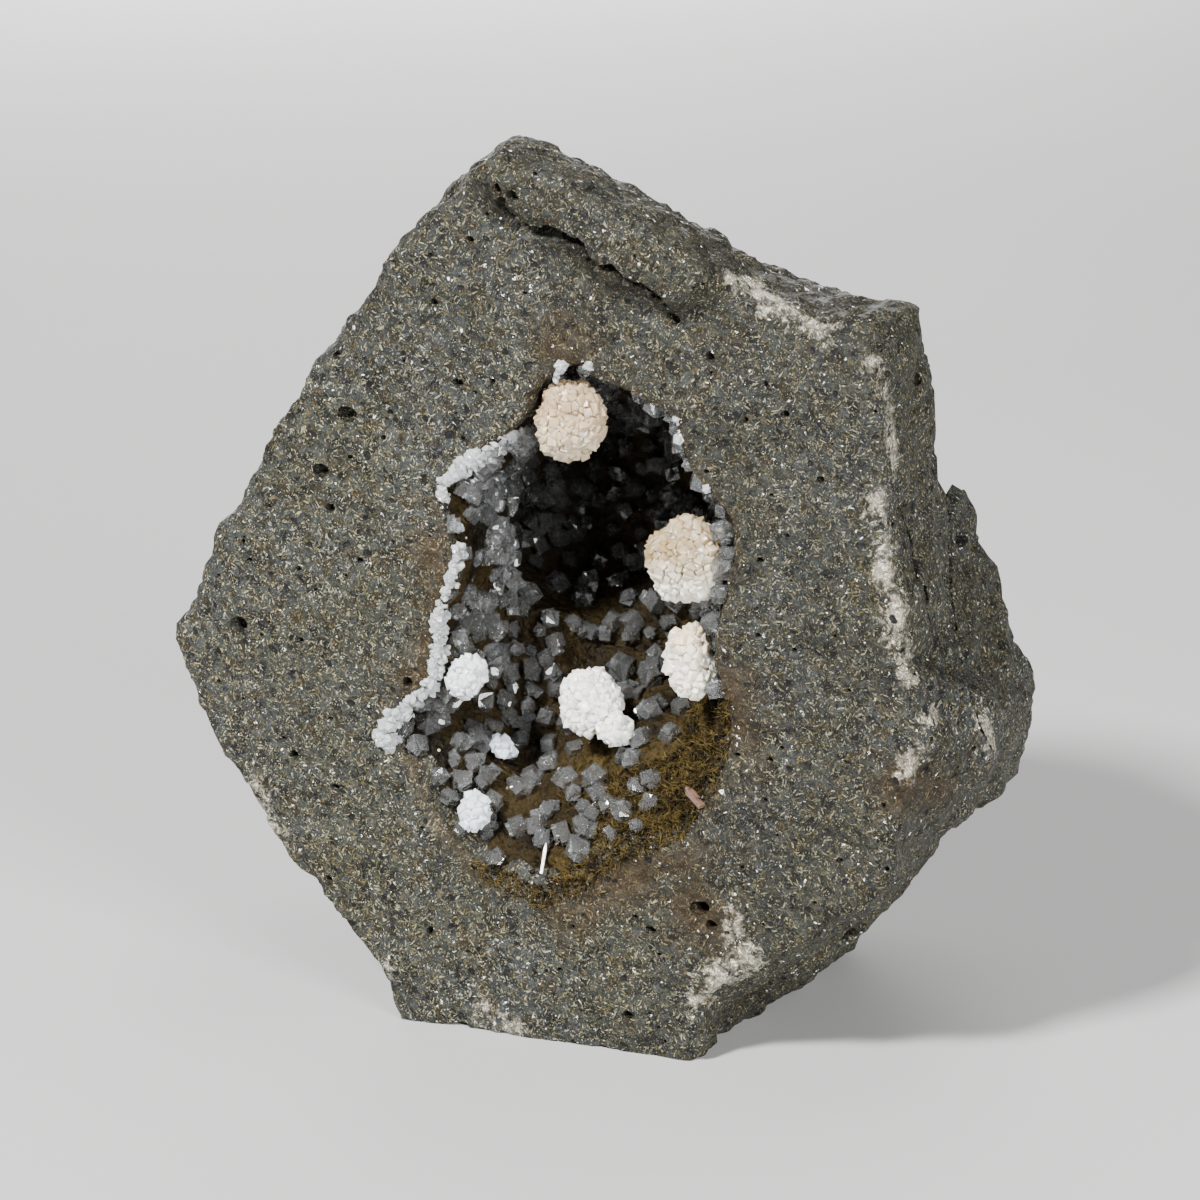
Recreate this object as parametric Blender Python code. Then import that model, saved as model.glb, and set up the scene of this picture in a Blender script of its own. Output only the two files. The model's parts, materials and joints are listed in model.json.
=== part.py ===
"""Phillipsite and chabazite in the hollow of a broken basalt block.

The block stands on its narrow lower end, with its flat broken face to the front (-Y) and +Z up.
One irregular hollow opens in that face. A thin crust lines it, cube-like chabazite crystals stand on
the crust, and balls of phillipsite sit among them. Sizes below are in millimetres.
"""

import math
import random

import bmesh
import bpy
from mathutils import Euler, Matrix, Vector, noise
from mathutils.bvhtree import BVHTree

MM = 0.001

# The block: outlines (x, z) of four upright sections, all walked the same way round from the left tip
FRONT_Y = -20.0
SIDE_Y = -9.0
WAIST_Y = 6.0
BACK_Y = 21.0
FRONT_OUTLINE = (
    (-39.4, 35.1), (-27.1, 57.2), (-11.5, 78.5), (-6.4, 82.4), (1.0, 79.9), (7.6, 76.9),
    (15.7, 72.4), (24.4, 68.1), (29.0, 65.9), (30.3, 54.1), (31.6, 45.4), (32.2, 38.2),
    (33.6, 32.5), (31.9, 27.3), (30.5, 19.5), (22.9, 12.8), (17.7, 9.7), (13.4, 5.5),
    (12.0, -1.5), (-2.0, -1.5), (-16.1, -1.5), (-17.8, 4.2), (-28.0, 14.2), (-32.5, 22.0),
    (-37.4, 28.4),
)
SIDE_OUTLINE = (
    (-40.0, 35.5), (-27.6, 57.0), (-14.3, 75.9), (-10.5, 80.6), (-3.2, 79.0), (4.5, 75.9),
    (12.0, 71.8), (21.0, 69.2), (29.0, 69.1), (30.0, 56.0), (31.0, 46.0), (32.4, 39.5),
    (36.5, 33.0), (36.5, 27.0), (31.0, 20.2), (25.3, 12.1), (21.0, 6.5), (16.5, 3.4),
    (12.5, -1.5), (-2.0, -1.5), (-17.0, -1.5), (-20.0, 4.0), (-30.0, 14.5), (-35.0, 22.0),
    (-39.0, 29.0),
)
WAIST_OUTLINE = (
    (-38.0, 36.0), (-28.0, 55.0), (-17.0, 70.0), (-12.0, 73.2), (-4.0, 73.8), (2.6, 70.6),
    (9.8, 67.4), (17.0, 64.8), (23.4, 61.0), (25.0, 52.0), (28.4, 45.0), (31.2, 39.0),
    (34.8, 31.0), (35.0, 24.0), (29.0, 17.5), (23.0, 10.5), (19.0, 5.0), (15.5, 1.5),
    (13.0, -1.5), (-2.0, -1.5), (-18.0, -1.5), (-21.0, 4.5), (-29.0, 15.0), (-34.0, 22.0),
    (-37.5, 29.0),
)
BACK_OUTLINE = (
    (-29.0, 37.0), (-21.0, 50.0), (-13.0, 60.0), (-9.0, 63.0), (-4.0, 64.0), (2.0, 62.0),
    (8.0, 59.0), (14.0, 55.0), (19.0, 51.0), (22.0, 45.0), (24.0, 40.0), (26.0, 35.0),
    (28.0, 30.0), (27.0, 24.0), (23.0, 17.0), (19.0, 11.0), (16.0, 6.0), (13.5, 2.0),
    (11.0, -1.5), (-2.0, -1.5), (-14.0, -1.5), (-16.5, 5.0), (-22.0, 15.0), (-26.0, 22.0),
    (-29.0, 29.0),
)

# Flat breaks on the hidden back: a point on each plane and the way the plane faces
BACK_BREAKS = (
    ((-24.0, 12.0, 55.0), (-0.62, 0.70, 0.36)),
    ((18.0, 15.0, 50.0), (0.55, 0.72, 0.42)),
    ((24.0, 14.0, 12.0), (0.58, 0.66, -0.48)),
    ((-22.0, 13.0, 12.0), (-0.50, 0.72, -0.48)),
    ((0.0, 10.0, 70.0), (-0.05, 0.62, 0.78)),
)

# The upper slab stands proud of the front face above the shadow line that runs down to the right
SLAB_PROUD = 2.4
SLAB_OUTLINE = (
    (-9.8, 79.4), (-6.4, 82.6), (1.0, 79.6), (7.6, 76.6), (14.8, 72.6), (12.6, 70.2),
    (9.2, 69.9), (7.2, 71.2), (4.6, 72.2), (2.6, 73.2), (1.2, 74.8), (-2.2, 75.8), (-4.6, 76.9),
    (-6.6, 78.4),
)
SLAB_ROOT = 6.0

# The layer behind the front one, which steps out to the right and rises to a broken end
LAYER_FRONT_Y = -6.8
LAYER_BACK_Y = 4.0
LAYER_OUTLINE = (
    (20.0, 47.5), (26.6, 48.6), (27.4, 49.5), (29.7, 49.9), (30.3, 48.8), (30.4, 46.8), (31.6, 43.0),
    (32.8, 39.8), (34.0, 36.8), (35.7, 32.0), (36.4, 28.9), (35.7, 25.0), (33.4, 21.6), (30.8, 19.4),
    (26.8, 15.6), (18.0, 19.5),
)

# Open cracks between the layers of the right side: line (y, z) down the side, and how deep they cut
CRACK_WIDTH = 0.9
CRACK_DEPTH = 3.2
CRACK_END_SHARE = 0.25
CRACK_ROOT_SHARE = 0.33
CRACKS = (
    ((-17.6, 56.5), (-15.4, 51.0), (-13.0, 46.0), (-12.4, 40.0)),
    ((-7.4, 54.0), (-6.8, 49.0), (-7.6, 43.0), (-6.6, 36.0)),
)
CRACK_OUTER_X = 36.0
CRACK_MOUTH_X = 31.2

# Gas pits that show from a step away: centre (x, z) on the front face and radii across and up
PITS = (
    (-23.2, 56.0, 0.95, 0.85), (-33.3, 35.3, 1.0, 1.0), (-25.4, 50.2, 0.55, 0.7),
    (-12.0, 60.8, 0.5, 0.6), (-17.0, 28.3, 0.6, 0.6), (-25.0, 46.4, 0.45, 0.5),
    (12.6, 65.0, 0.5, 0.5), (10.2, 68.0, 0.6, 0.5), (13.4, 14.6, 1.0, 0.7), (14.6, 13.0, 0.7, 0.6),
    (7.6, 11.4, 0.7, 0.5), (-25.8, 20.2, 0.5, 0.5), (19.7, 60.2, 0.45, 0.45),
)
PIT_REACH = 0.9
PIT_SEARCH = 20.0

# Broken surface of the basalt
STONE_VOXEL = 1.05
STONE_LUMP = 0.55
STONE_LUMP_SIZE = 7.0
STONE_GRIT = 0.40
STONE_GRIT_SIZE = 2.4
STONE_GRIT_SHIFT = Vector((3.0, 1.0, 7.0))
STONE_TRIANGLES = 3700
SIDE_ROUGHER = 2.0

# The hollow: mouth outline (x, z) on the front face, with how far its wall leans in over WALL_DEPTH.
# Below, the floor rises gently to the rim, so the lean is large; at the right it undercuts the rim.
MOUTH = (
    (0.9, 64.0, -1.0), (3.7, 61.9, -1.5), (6.5, 60.7, -2.0), (10.0, 59.8, -1.5), (11.0, 55.8, -0.5),
    (12.4, 53.6, 0.0), (15.2, 51.0, 1.5), (15.5, 47.3, 2.5), (14.3, 42.3, 1.5), (14.4, 36.2, 2.0),
    (15.6, 30.6, 5.0), (14.4, 26.4, 8.0), (11.6, 21.3, 11.0), (7.4, 19.5, 14.0), (3.7, 17.7, 14.0),
    (1.7, 15.2, 14.0), (-2.7, 12.7, 14.0), (-7.0, 13.7, 12.0), (-9.3, 16.0, 9.0),
    (-13.0, 20.9, 4.5), (-14.4, 24.3, 4.0), (-18.3, 26.5, 6.5), (-15.4, 30.5, 4.5),
    (-13.1, 32.7, 2.5), (-13.1, 37.5, 2.0), (-11.0, 44.5, 1.0), (-12.3, 50.8, 1.8),
    (-8.0, 54.9, 1.0), (-4.0, 57.2, 0.0), (-3.2, 60.4, 0.0),
)
MOUTH_CENTRE = (0.0, 40.0)
WALL_DEPTH = 12.0
WALL_SECTIONS = (-4.0, 0.0, 1.5, 3.5, 6.0, 9.0, 12.0)
WALL_CURVE = 0.85

# Deeper rooms behind the mouth: centre (x, y, z) and radii
ROOMS = (
    ((0.5, -5.5, 49.0), (12.5, 9.5, 11.0)),
    ((-4.5, -4.0, 44.0), (9.5, 7.0, 8.5)),
    ((2.5, -9.0, 36.5), (10.5, 6.5, 8.5)),
    ((4.5, -11.0, 56.0), (5.5, 6.0, 5.0)),
)
HOLLOW_VOXEL = 0.9
HOLLOW_LUMP = 0.8
HOLLOW_LUMP_SIZE = 5.0
HOLLOW_LUMP_SHIFT = Vector((9.0, 4.0, 2.0))
HOLLOW_TRIANGLES = 500

# The crust that lines the hollow
CRUST_CLEARANCE = 0.42
CRUST_THICKNESS = 1.0
CRUST_FRONT_Y = FRONT_Y + 0.4
CRYSTAL_COUNT = 46
CRYSTAL_ATTEMPTS = 30 * CRYSTAL_COUNT
CRYSTAL_FRONT_Y = FRONT_Y + 1.5
CRYSTAL_EDGE = (1.7, 2.9)
CRYSTAL_CORNER = 85.2
CRYSTAL_SINK = 0.35
CRYSTAL_SPACING = 0.72
CRYSTAL_SEED = 31

# Balls of phillipsite. Each is placed on the line from the viewer's eye through a point (x, z) of the
# front plane, from a first depth as far in as the crust lets it go:
# (x, z), first depth, radii (across, deep, up), lean in degrees.
EYE = (162.2, -413.5, 164.0)
BALLS = {
    "phillipsite_ball_top": ((0.4, 58.4), 2.0, (3.3, 3.2, 3.8), 20.0),
    "phillipsite_ball_right": ((11.5, 46.8), 3.0, (3.6, 3.5, 4.0), 0.0),
    "phillipsite_ball_lower_right": ((11.9, 37.5), 3.0, (2.4, 2.6, 3.5), -8.0),
    "phillipsite_ball_centre": ((2.4, 32.8), 5.0, (3.0, 3.0, 3.2), 0.0),
    "phillipsite_ball_left": ((-9.8, 33.8), 2.0, (1.9, 1.9, 1.9), 0.0),
    "phillipsite_ball_floor": ((-6.2, 27.5), 3.0, (1.5, 1.5, 1.4), 0.0),
    "phillipsite_ball_low_left": ((-9.1, 21.3), 1.6, (1.5, 1.5, 2.1), 0.0),
}
LOBE_OF = "phillipsite_ball_centre"
LOBE_OFFSET = (3.1, -1.9, -1.9)
LOBE_RADIUS = 1.7
BALL_SINK = 0.45
SIGHT_STEP = 0.1
SIGHT_STEPS = 200
BALL_GAP = 0.38
BALL_KNOB = 0.28
BALL_KNOB_SIZE = 1.1
BALL_SEED = 5
SMALL_BALL = 2.5


def material(name, colour, roughness):
    """A plain Principled material with the colour of the real surface."""
    finish = bpy.data.materials.new(name)
    finish.use_nodes = True
    shader = finish.node_tree.nodes["Principled BSDF"]
    shader.inputs["Base Color"].default_value = (*colour, 1.0)
    shader.inputs["Roughness"].default_value = roughness
    shader.inputs["Metallic"].default_value = 0.0
    return finish


def add_object(name, mesh):
    """Link a mesh to the scene as a named object."""
    body = bpy.data.objects.new(name, mesh)
    bpy.context.scene.collection.objects.link(body)
    return body


def dress(body, finish):
    """Give an object one material."""
    body.data.materials.clear()
    body.data.materials.append(finish)


def mesh_of(name, corners, faces):
    """A mesh from corner points in millimetres, with its faces turned outwards."""
    mesh = bpy.data.meshes.new(name)
    mesh.from_pydata([Vector(corner) * MM for corner in corners], [], faces)
    outward(mesh)
    return mesh


def outward(mesh):
    """Turn every face of a closed mesh to the outside."""
    work = bmesh.new()
    work.from_mesh(mesh)
    bmesh.ops.recalc_face_normals(work, faces=work.faces)
    work.to_mesh(mesh)
    work.free()


def settle(body):
    """Replace an object's mesh by what its modifiers make of it."""
    graph = bpy.context.evaluated_depsgraph_get()
    shaped = bpy.data.meshes.new_from_object(body.evaluated_get(graph), depsgraph=graph)
    body.modifiers.clear()
    body.data = shaped
    return body


def guide(body):
    """Mark an object as a cutter or guide that is no part of the specimen."""
    body.hide_render = True
    body.display_type = "WIRE"
    return body


def combine(body, other, operation, solver="EXACT"):
    """Union with, cut by or keep only what is inside another closed object.

    The crust needs the MANIFOLD solver: its skins are offset copies that fold over in tight corners,
    which the EXACT solver turns inside out.
    """
    step = body.modifiers.new(operation.lower(), "BOOLEAN")
    step.operation = operation
    step.solver = solver
    step.object = other
    return settle(body)


def remesh(body, voxel):
    """Join what an object holds into one even skin."""
    step = body.modifiers.new("skin", "REMESH")
    step.mode = "VOXEL"
    step.voxel_size = voxel * MM
    return settle(body)


def thin_out(body, triangles):
    """Collapse a mesh to about the given number of triangles."""
    work = bmesh.new()
    work.from_mesh(body.data)
    bmesh.ops.triangulate(work, faces=work.faces)
    work.to_mesh(body.data)
    count = len(work.faces)
    work.free()
    step = body.modifiers.new("thin", "DECIMATE")
    step.ratio = min(1.0, triangles / count)
    return settle(body)


def prism(name, outline, y_front, y_back):
    """A closed prism along Y over an outline of (x, z) points."""
    count = len(outline)
    corners = [(x, y_front, z) for x, z in outline] + [(x, y_back, z) for x, z in outline]
    faces = [(i, (i + 1) % count, count + (i + 1) % count, count + i) for i in range(count)]
    faces += [tuple(range(count)), tuple(reversed(range(count, 2 * count)))]
    return add_object(name, mesh_of(name, corners, faces))


def loft(name, sections):
    """A closed body through rings of corner points that all have the same count."""
    count = len(sections[0])
    corners = [corner for section in sections for corner in section]
    faces = []
    for level in range(len(sections) - 1):
        near = level * count
        far = near + count
        for i in range(count):
            j = (i + 1) % count
            faces.append((near + i, near + j, far + j, far + i))
    faces.append(tuple(range(count)))
    faces.append(tuple(reversed(range(len(corners) - count, len(corners)))))
    return add_object(name, mesh_of(name, corners, faces))


def ellipsoid(name, centre, radii, fineness=2, lean=0.0):
    """A closed ball of triangles with its own radius along each axis, leaned about Y."""
    mesh = bpy.data.meshes.new(name)
    work = bmesh.new()
    bmesh.ops.create_icosphere(work, subdivisions=fineness, radius=1.0)
    place = (
        Matrix.Translation(Vector(centre) * MM)
        @ Matrix.Rotation(math.radians(lean), 4, "Y")
        @ Matrix.Diagonal((*(Vector(radii) * MM), 1.0))
    )
    work.transform(place)
    work.to_mesh(mesh)
    work.free()
    return add_object(name, mesh)


def roughen(body, rule):
    """Move every corner along its normal by what a rule gives, in millimetres."""
    mesh = body.data
    normals = [corner.normal.copy() for corner in mesh.vertices]
    for corner, normal in zip(mesh.vertices, normals):
        corner.co += normal * rule(corner.co / MM, normal) * MM
    mesh.update()
    return body


def offset_copy(body, name, distance):
    """A copy of an object whose skin is moved outwards, or inwards where distance is negative."""
    copy = add_object(name, body.data.copy())
    return roughen(copy, lambda place, normal: distance)


def cut_flat(body, point, facing):
    """Cut a closed body at a plane, keep what is behind it and close the cut with one flat face."""
    work = bmesh.new()
    work.from_mesh(body.data)
    bmesh.ops.bisect_plane(
        work,
        geom=[*work.verts, *work.edges, *work.faces],
        plane_co=Vector(point) * MM,
        plane_no=Vector(facing).normalized(),
        dist=1e-7,
        clear_outer=True,
    )
    rim = [edge for edge in work.edges if edge.is_boundary]
    bmesh.ops.holes_fill(work, edges=rim, sides=0)
    bmesh.ops.recalc_face_normals(work, faces=work.faces)
    work.to_mesh(body.data)
    work.free()
    return body


def drop_chips(body):
    """Keep the largest connected skin of an object and delete the chips that were cut loose."""
    work = bmesh.new()
    work.from_mesh(body.data)
    unseen = set(work.verts)
    skins = []
    while unseen:
        front = [unseen.pop()]
        skin = []
        while front:
            corner = front.pop()
            skin.append(corner)
            for edge in corner.link_edges:
                other = edge.other_vert(corner)
                if other in unseen:
                    unseen.discard(other)
                    front.append(other)
        skins.append(skin)
    skins.sort(key=len)
    loose = [corner for skin in skins[:-1] for corner in skin]
    bmesh.ops.delete(work, geom=loose, context="VERTS")
    work.to_mesh(body.data)
    work.free()


def stone_surface(place, normal):
    """Height of the broken basalt surface: smooth on the flat front, rougher on the other sides."""
    front = max(0.0, -normal.y)
    rough = 1.0 + (SIDE_ROUGHER - 1.0) * (1.0 - front)
    lump = noise.noise(place / STONE_LUMP_SIZE) * STONE_LUMP
    grit = noise.noise(place / STONE_GRIT_SIZE + STONE_GRIT_SHIFT) * STONE_GRIT
    return (lump + grit) * rough


def build_block():
    """The broken basalt block before the hollow is cut."""
    outlines = (
        (FRONT_OUTLINE, FRONT_Y), (SIDE_OUTLINE, SIDE_Y), (WAIST_OUTLINE, WAIST_Y), (BACK_OUTLINE, BACK_Y),
    )
    block = loft("basalt_matrix", [[(x, y, z) for x, z in outline] for outline, y in outlines])
    for point, facing in BACK_BREAKS:
        cut_flat(block, point, facing)
    slab = guide(prism("upper_slab", SLAB_OUTLINE, FRONT_Y - SLAB_PROUD, FRONT_Y + SLAB_ROOT))
    combine(block, slab, "UNION")
    layer = guide(prism("right_layer", LAYER_OUTLINE, LAYER_FRONT_Y, LAYER_BACK_Y))
    combine(block, layer, "UNION")
    for number, line in enumerate(CRACKS):
        combine(block, guide(crack_cutter(f"crack_{number + 1}", line)), "DIFFERENCE")
    remesh(block, STONE_VOXEL)
    roughen(block, stone_surface)
    thin_out(block, STONE_TRIANGLES)
    return cut_flat(block, (0.0, 0.0, 0.0), (0.0, 0.0, -1.0))


def crack_cutter(name, line):
    """A thin wedge that follows a line down the right side and narrows to its ends."""
    half = CRACK_WIDTH / 2
    inner = CRACK_MOUTH_X - CRACK_DEPTH
    sections = []
    for index, (y, z) in enumerate(line):
        width = half * CRACK_END_SHARE if index in (0, len(line) - 1) else half
        root = width * CRACK_ROOT_SHARE
        sections.append([
            (CRACK_OUTER_X, y - width, z), (CRACK_OUTER_X, y + width, z),
            (inner, y + root, z), (inner, y - root, z),
        ])
    return loft(name, sections)


def hollow_surface(place, normal):
    """Height of the lumps on the wall of the hollow."""
    return noise.noise(place / HOLLOW_LUMP_SIZE + HOLLOW_LUMP_SHIFT) * HOLLOW_LUMP


def build_hollow():
    """The space of the hollow as a closed body that reaches out through the mouth."""
    centre = Vector(MOUTH_CENTRE)
    sections = []
    for depth in WALL_SECTIONS:
        share = math.copysign(abs(depth / WALL_DEPTH) ** WALL_CURVE, depth)
        section = []
        for x, z, lean in MOUTH:
            rim = Vector((x, z))
            moved = rim + (centre - rim).normalized() * lean * share
            section.append((moved.x, FRONT_Y + depth, moved.y))
        sections.append(section)
    hollow = guide(loft("hollow", sections))
    for number, (place, radii) in enumerate(ROOMS):
        combine(hollow, guide(ellipsoid(f"room_{number + 1}", place, radii, 3)), "UNION")
    remesh(hollow, HOLLOW_VOXEL)
    roughen(hollow, hollow_surface)
    thin_out(hollow, HOLLOW_TRIANGLES)
    return hollow


def cut_pits(block):
    """Cut the larger gas pits into the front face."""
    front = BVHTree.FromObject(block, bpy.context.evaluated_depsgraph_get())
    for number, (x, z, across, up) in enumerate(PITS):
        start = Vector((x, FRONT_Y - PIT_SEARCH, z)) * MM
        place = front.ray_cast(start, Vector((0.0, 1.0, 0.0)))[0] / MM
        radii = (across, PIT_REACH * (across + up), up)
        combine(block, guide(ellipsoid(f"pit_{number + 1}", place, radii, 1)), "DIFFERENCE")


def chabazite_crystal(edge, turn, place):
    """Corner points of one rhombohedron, nearly a cube, of the given edge in millimetres."""
    corner = math.radians(CRYSTAL_CORNER)
    spread = math.acos(math.sqrt((1.0 + 2.0 * math.cos(corner)) / 3.0))
    axes = []
    for third in range(3):
        swing = math.radians(120.0 * third)
        axes.append(Vector((
            math.sin(spread) * math.cos(swing), math.sin(spread) * math.sin(swing), math.cos(spread),
        )) * edge)
    shift = (axes[0] + axes[1] + axes[2]) / 2
    steps = [(i, j, k) for i in (0, 1) for j in (0, 1) for k in (0, 1)]
    corners = [axes[0] * i + axes[1] * j + axes[2] * k - shift for i, j, k in steps]
    return [turn @ point + place for point in corners]


RHOMB_FACES = ((0, 1, 3, 2), (4, 6, 7, 5), (0, 4, 5, 1), (2, 3, 7, 6), (0, 2, 6, 4), (1, 5, 7, 3))


def scatter_crystals(skin):
    """Places on the crust's inner skin for the chabazite crystals, none too close to the last ones."""
    draw = random.Random(CRYSTAL_SEED)
    tree = BVHTree.FromObject(skin, bpy.context.evaluated_depsgraph_get())
    polygons = [face for face in skin.data.polygons if face.center.y > CRYSTAL_FRONT_Y * MM]
    weights = [face.area for face in polygons]
    crystals = []
    for _attempt in range(CRYSTAL_ATTEMPTS):
        if len(crystals) == CRYSTAL_COUNT:
            break
        face = draw.choices(polygons, weights)[0]
        edge = draw.uniform(*CRYSTAL_EDGE)
        foot, normal, _index, _distance = tree.find_nearest(face.center)
        place = foot / MM - normal * edge * CRYSTAL_SINK
        turn = Euler([draw.uniform(0.0, math.tau) for _axis in range(3)]).to_matrix()
        if all((place - other).length > CRYSTAL_SPACING * (edge + size) / 2 for other, size, _t in crystals):
            crystals.append((place, edge, turn))
    return crystals


def build_crust(hollow, sockets):
    """The crust with its crystals, kept clear of the basalt and of the balls' sockets."""
    outer = offset_copy(hollow, "zeolite_crust", -CRUST_CLEARANCE)
    cut_flat(outer, (0.0, CRUST_FRONT_Y, 0.0), (0.0, -1.0, 0.0))
    space = guide(add_object("crust_space", outer.data.copy()))
    skin = guide(offset_copy(hollow, "crust_skin", -CRUST_CLEARANCE - CRUST_THICKNESS))
    combine(outer, skin, "DIFFERENCE", "MANIFOLD")
    for number, (place, edge, turn) in enumerate(scatter_crystals(skin)):
        name = f"chabazite_{number + 1}"
        crystal = add_object(name, mesh_of(name, chabazite_crystal(edge, turn, place), RHOMB_FACES))
        combine(outer, guide(crystal), "UNION", "MANIFOLD")
    combine(outer, space, "INTERSECT", "MANIFOLD")
    for socket in sockets:
        combine(outer, socket, "DIFFERENCE", "MANIFOLD")
    drop_chips(outer)
    return outer


def ball_place(tree, sight, depth, radii):
    """Centre of a ball pushed along the line of sight until it sinks into the crust a little."""
    eye = Vector(EYE)
    aim = (Vector((sight[0], FRONT_Y, sight[1])) - eye).normalized()
    place = eye + aim * ((FRONT_Y + depth - eye.y) / aim.y)
    reach = max(radii) - BALL_SINK
    for _step in range(SIGHT_STEPS):
        if tree.find_nearest(place * MM)[3] / MM < reach:
            break
        place = place + aim * SIGHT_STEP
    return place


def knobs(shift):
    """The rule that gives a ball its low knobs, different for each shift."""
    return lambda spot, normal: noise.cell(spot / BALL_KNOB_SIZE + shift) * BALL_KNOB


def build_balls(hollow):
    """Every phillipsite ball as its own closed lump with low knobs."""
    skin = guide(offset_copy(hollow, "ball_skin", -CRUST_CLEARANCE - CRUST_THICKNESS))
    tree = BVHTree.FromObject(skin, bpy.context.evaluated_depsgraph_get())
    balls = []
    for order, (name, (sight, depth, radii, lean)) in enumerate(BALLS.items()):
        place = ball_place(tree, sight, depth, radii)
        ball = ellipsoid(name, place, radii, 2 if max(radii) < SMALL_BALL else 3, lean)
        if name == LOBE_OF:
            lobe = guide(ellipsoid("centre_lobe", place + Vector(LOBE_OFFSET), (LOBE_RADIUS,) * 3, 2))
            combine(ball, lobe, "UNION")
        balls.append(roughen(ball, knobs(Vector((BALL_SEED, order, 0.0)))))
    return balls


def main():
    """Build the specimen."""
    for leftover in list(bpy.data.objects):
        bpy.data.objects.remove(leftover)
    basalt = material("basalt", (0.115, 0.112, 0.100), 0.80)
    chabazite = material("chabazite_crust", (0.30, 0.31, 0.30), 0.35)
    phillipsite = material("phillipsite", (0.78, 0.70, 0.60), 0.50)
    block = build_block()
    hollow = build_hollow()
    combine(block, hollow, "DIFFERENCE")
    cut_pits(block)
    balls = build_balls(hollow)
    sockets = [guide(offset_copy(ball, f"{ball.name}_socket", BALL_GAP)) for ball in balls]
    for socket in sockets:
        combine(block, socket, "DIFFERENCE")
    dress(block, basalt)
    dress(build_crust(hollow, sockets), chabazite)
    for ball in balls:
        dress(ball, phillipsite)


main()
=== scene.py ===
"""Looks of a basalt block whose hollow is lined with chabazite crystals and phillipsite balls.

The block, the lining of its hollow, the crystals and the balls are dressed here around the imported
solids. Lengths are metres; MM turns a size in millimetres into metres. Places that were read off the
reference photograph are named lists of (column, row) in its frame of 1200 by 1200 pixels, and each
becomes a point on the specimen where the photographer's line of sight meets the stone.
"""

import json
import logging
import math
import random
from dataclasses import dataclass, field
from enum import Enum
from itertools import product
from typing import Callable, Iterator, Sequence

import bmesh
import bpy
import numpy as np
from mathutils import Euler, Matrix, Vector, noise
from mathutils.bvhtree import BVHTree
from mathutils.kdtree import KDTree

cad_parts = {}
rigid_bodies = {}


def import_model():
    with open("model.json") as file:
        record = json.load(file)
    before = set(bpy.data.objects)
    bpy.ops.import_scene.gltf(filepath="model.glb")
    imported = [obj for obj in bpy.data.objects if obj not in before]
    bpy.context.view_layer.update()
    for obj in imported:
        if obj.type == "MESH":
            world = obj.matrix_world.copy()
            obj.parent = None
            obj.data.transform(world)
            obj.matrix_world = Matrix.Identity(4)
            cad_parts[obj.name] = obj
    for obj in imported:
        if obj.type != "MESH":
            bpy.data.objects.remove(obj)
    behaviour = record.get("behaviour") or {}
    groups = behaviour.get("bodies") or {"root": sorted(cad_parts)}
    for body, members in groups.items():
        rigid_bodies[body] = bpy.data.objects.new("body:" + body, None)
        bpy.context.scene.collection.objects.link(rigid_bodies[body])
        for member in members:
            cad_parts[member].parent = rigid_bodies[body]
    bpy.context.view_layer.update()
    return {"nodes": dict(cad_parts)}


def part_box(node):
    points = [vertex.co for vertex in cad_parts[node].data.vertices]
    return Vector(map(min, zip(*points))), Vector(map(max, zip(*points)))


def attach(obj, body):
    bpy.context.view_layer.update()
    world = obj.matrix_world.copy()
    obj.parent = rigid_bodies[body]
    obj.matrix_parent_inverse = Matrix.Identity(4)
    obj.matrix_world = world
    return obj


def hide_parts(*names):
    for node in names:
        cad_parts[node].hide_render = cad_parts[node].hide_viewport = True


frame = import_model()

MM = 0.001
MERGE = 1e-6
BODY = "root"

log = logging.getLogger("specimen")

Pixel = tuple[float, float]


@dataclass(frozen=True)
class Viewpoint:
    """The photographer's place, from which the photograph's pixels are lines of sight."""

    eye: tuple[float, float, float] = (0.1622, -0.4135, 0.1640)
    azimuth: float = 22.0
    elevation: float = 16.0
    lens: float = 150.0
    sensor: float = 36.0
    side: float = 1200.0

    def axes(self) -> tuple[Vector, Vector, Vector]:
        """Unit vectors to the right, up and back towards the eye."""
        swing, rise = math.radians(self.azimuth), math.radians(self.elevation)
        back = Vector((
            math.sin(swing) * math.cos(rise), -math.cos(swing) * math.cos(rise), math.sin(rise),
        ))
        right = Vector((math.cos(swing), math.sin(swing), 0.0))
        return right, back.cross(right), back

    def sight(self, pixel: Pixel) -> Vector:
        """Direction of the line of sight through a pixel.

        Args:
            pixel: column and row in the photograph's frame.

        Returns:
            A unit vector from the eye.
        """
        right, up, back = self.axes()
        pitch = self.sensor / self.lens / self.side
        across = (pixel[0] - self.side / 2) * pitch
        down = (pixel[1] - self.side / 2) * pitch
        return (right * across - up * down - back).normalized()

    def pixel(self, place: Vector) -> Pixel:
        """The pixel in which a place is seen.

        Args:
            place: a point in front of the eye.

        Returns:
            Column and row in the photograph's frame.
        """
        right, up, back = self.axes()
        offset = place - Vector(self.eye)
        reach = -offset.dot(back) * self.sensor / self.lens / self.side
        return (self.side / 2 + offset.dot(right) / reach, self.side / 2 - offset.dot(up) / reach)

    def place_camera(self) -> None:
        """Make the scene's camera at the photographer's place."""
        data = bpy.data.cameras.new("view")
        data.lens = self.lens
        data.sensor_width = self.sensor
        camera = bpy.data.objects.new("view", data)
        bpy.context.scene.collection.objects.link(camera)
        right, up, back = self.axes()
        turn = Matrix((right, up, back)).transposed().to_4x4()
        camera.matrix_world = Matrix.Translation(self.eye) @ turn
        bpy.context.scene.camera = camera


VIEW = Viewpoint()


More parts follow.
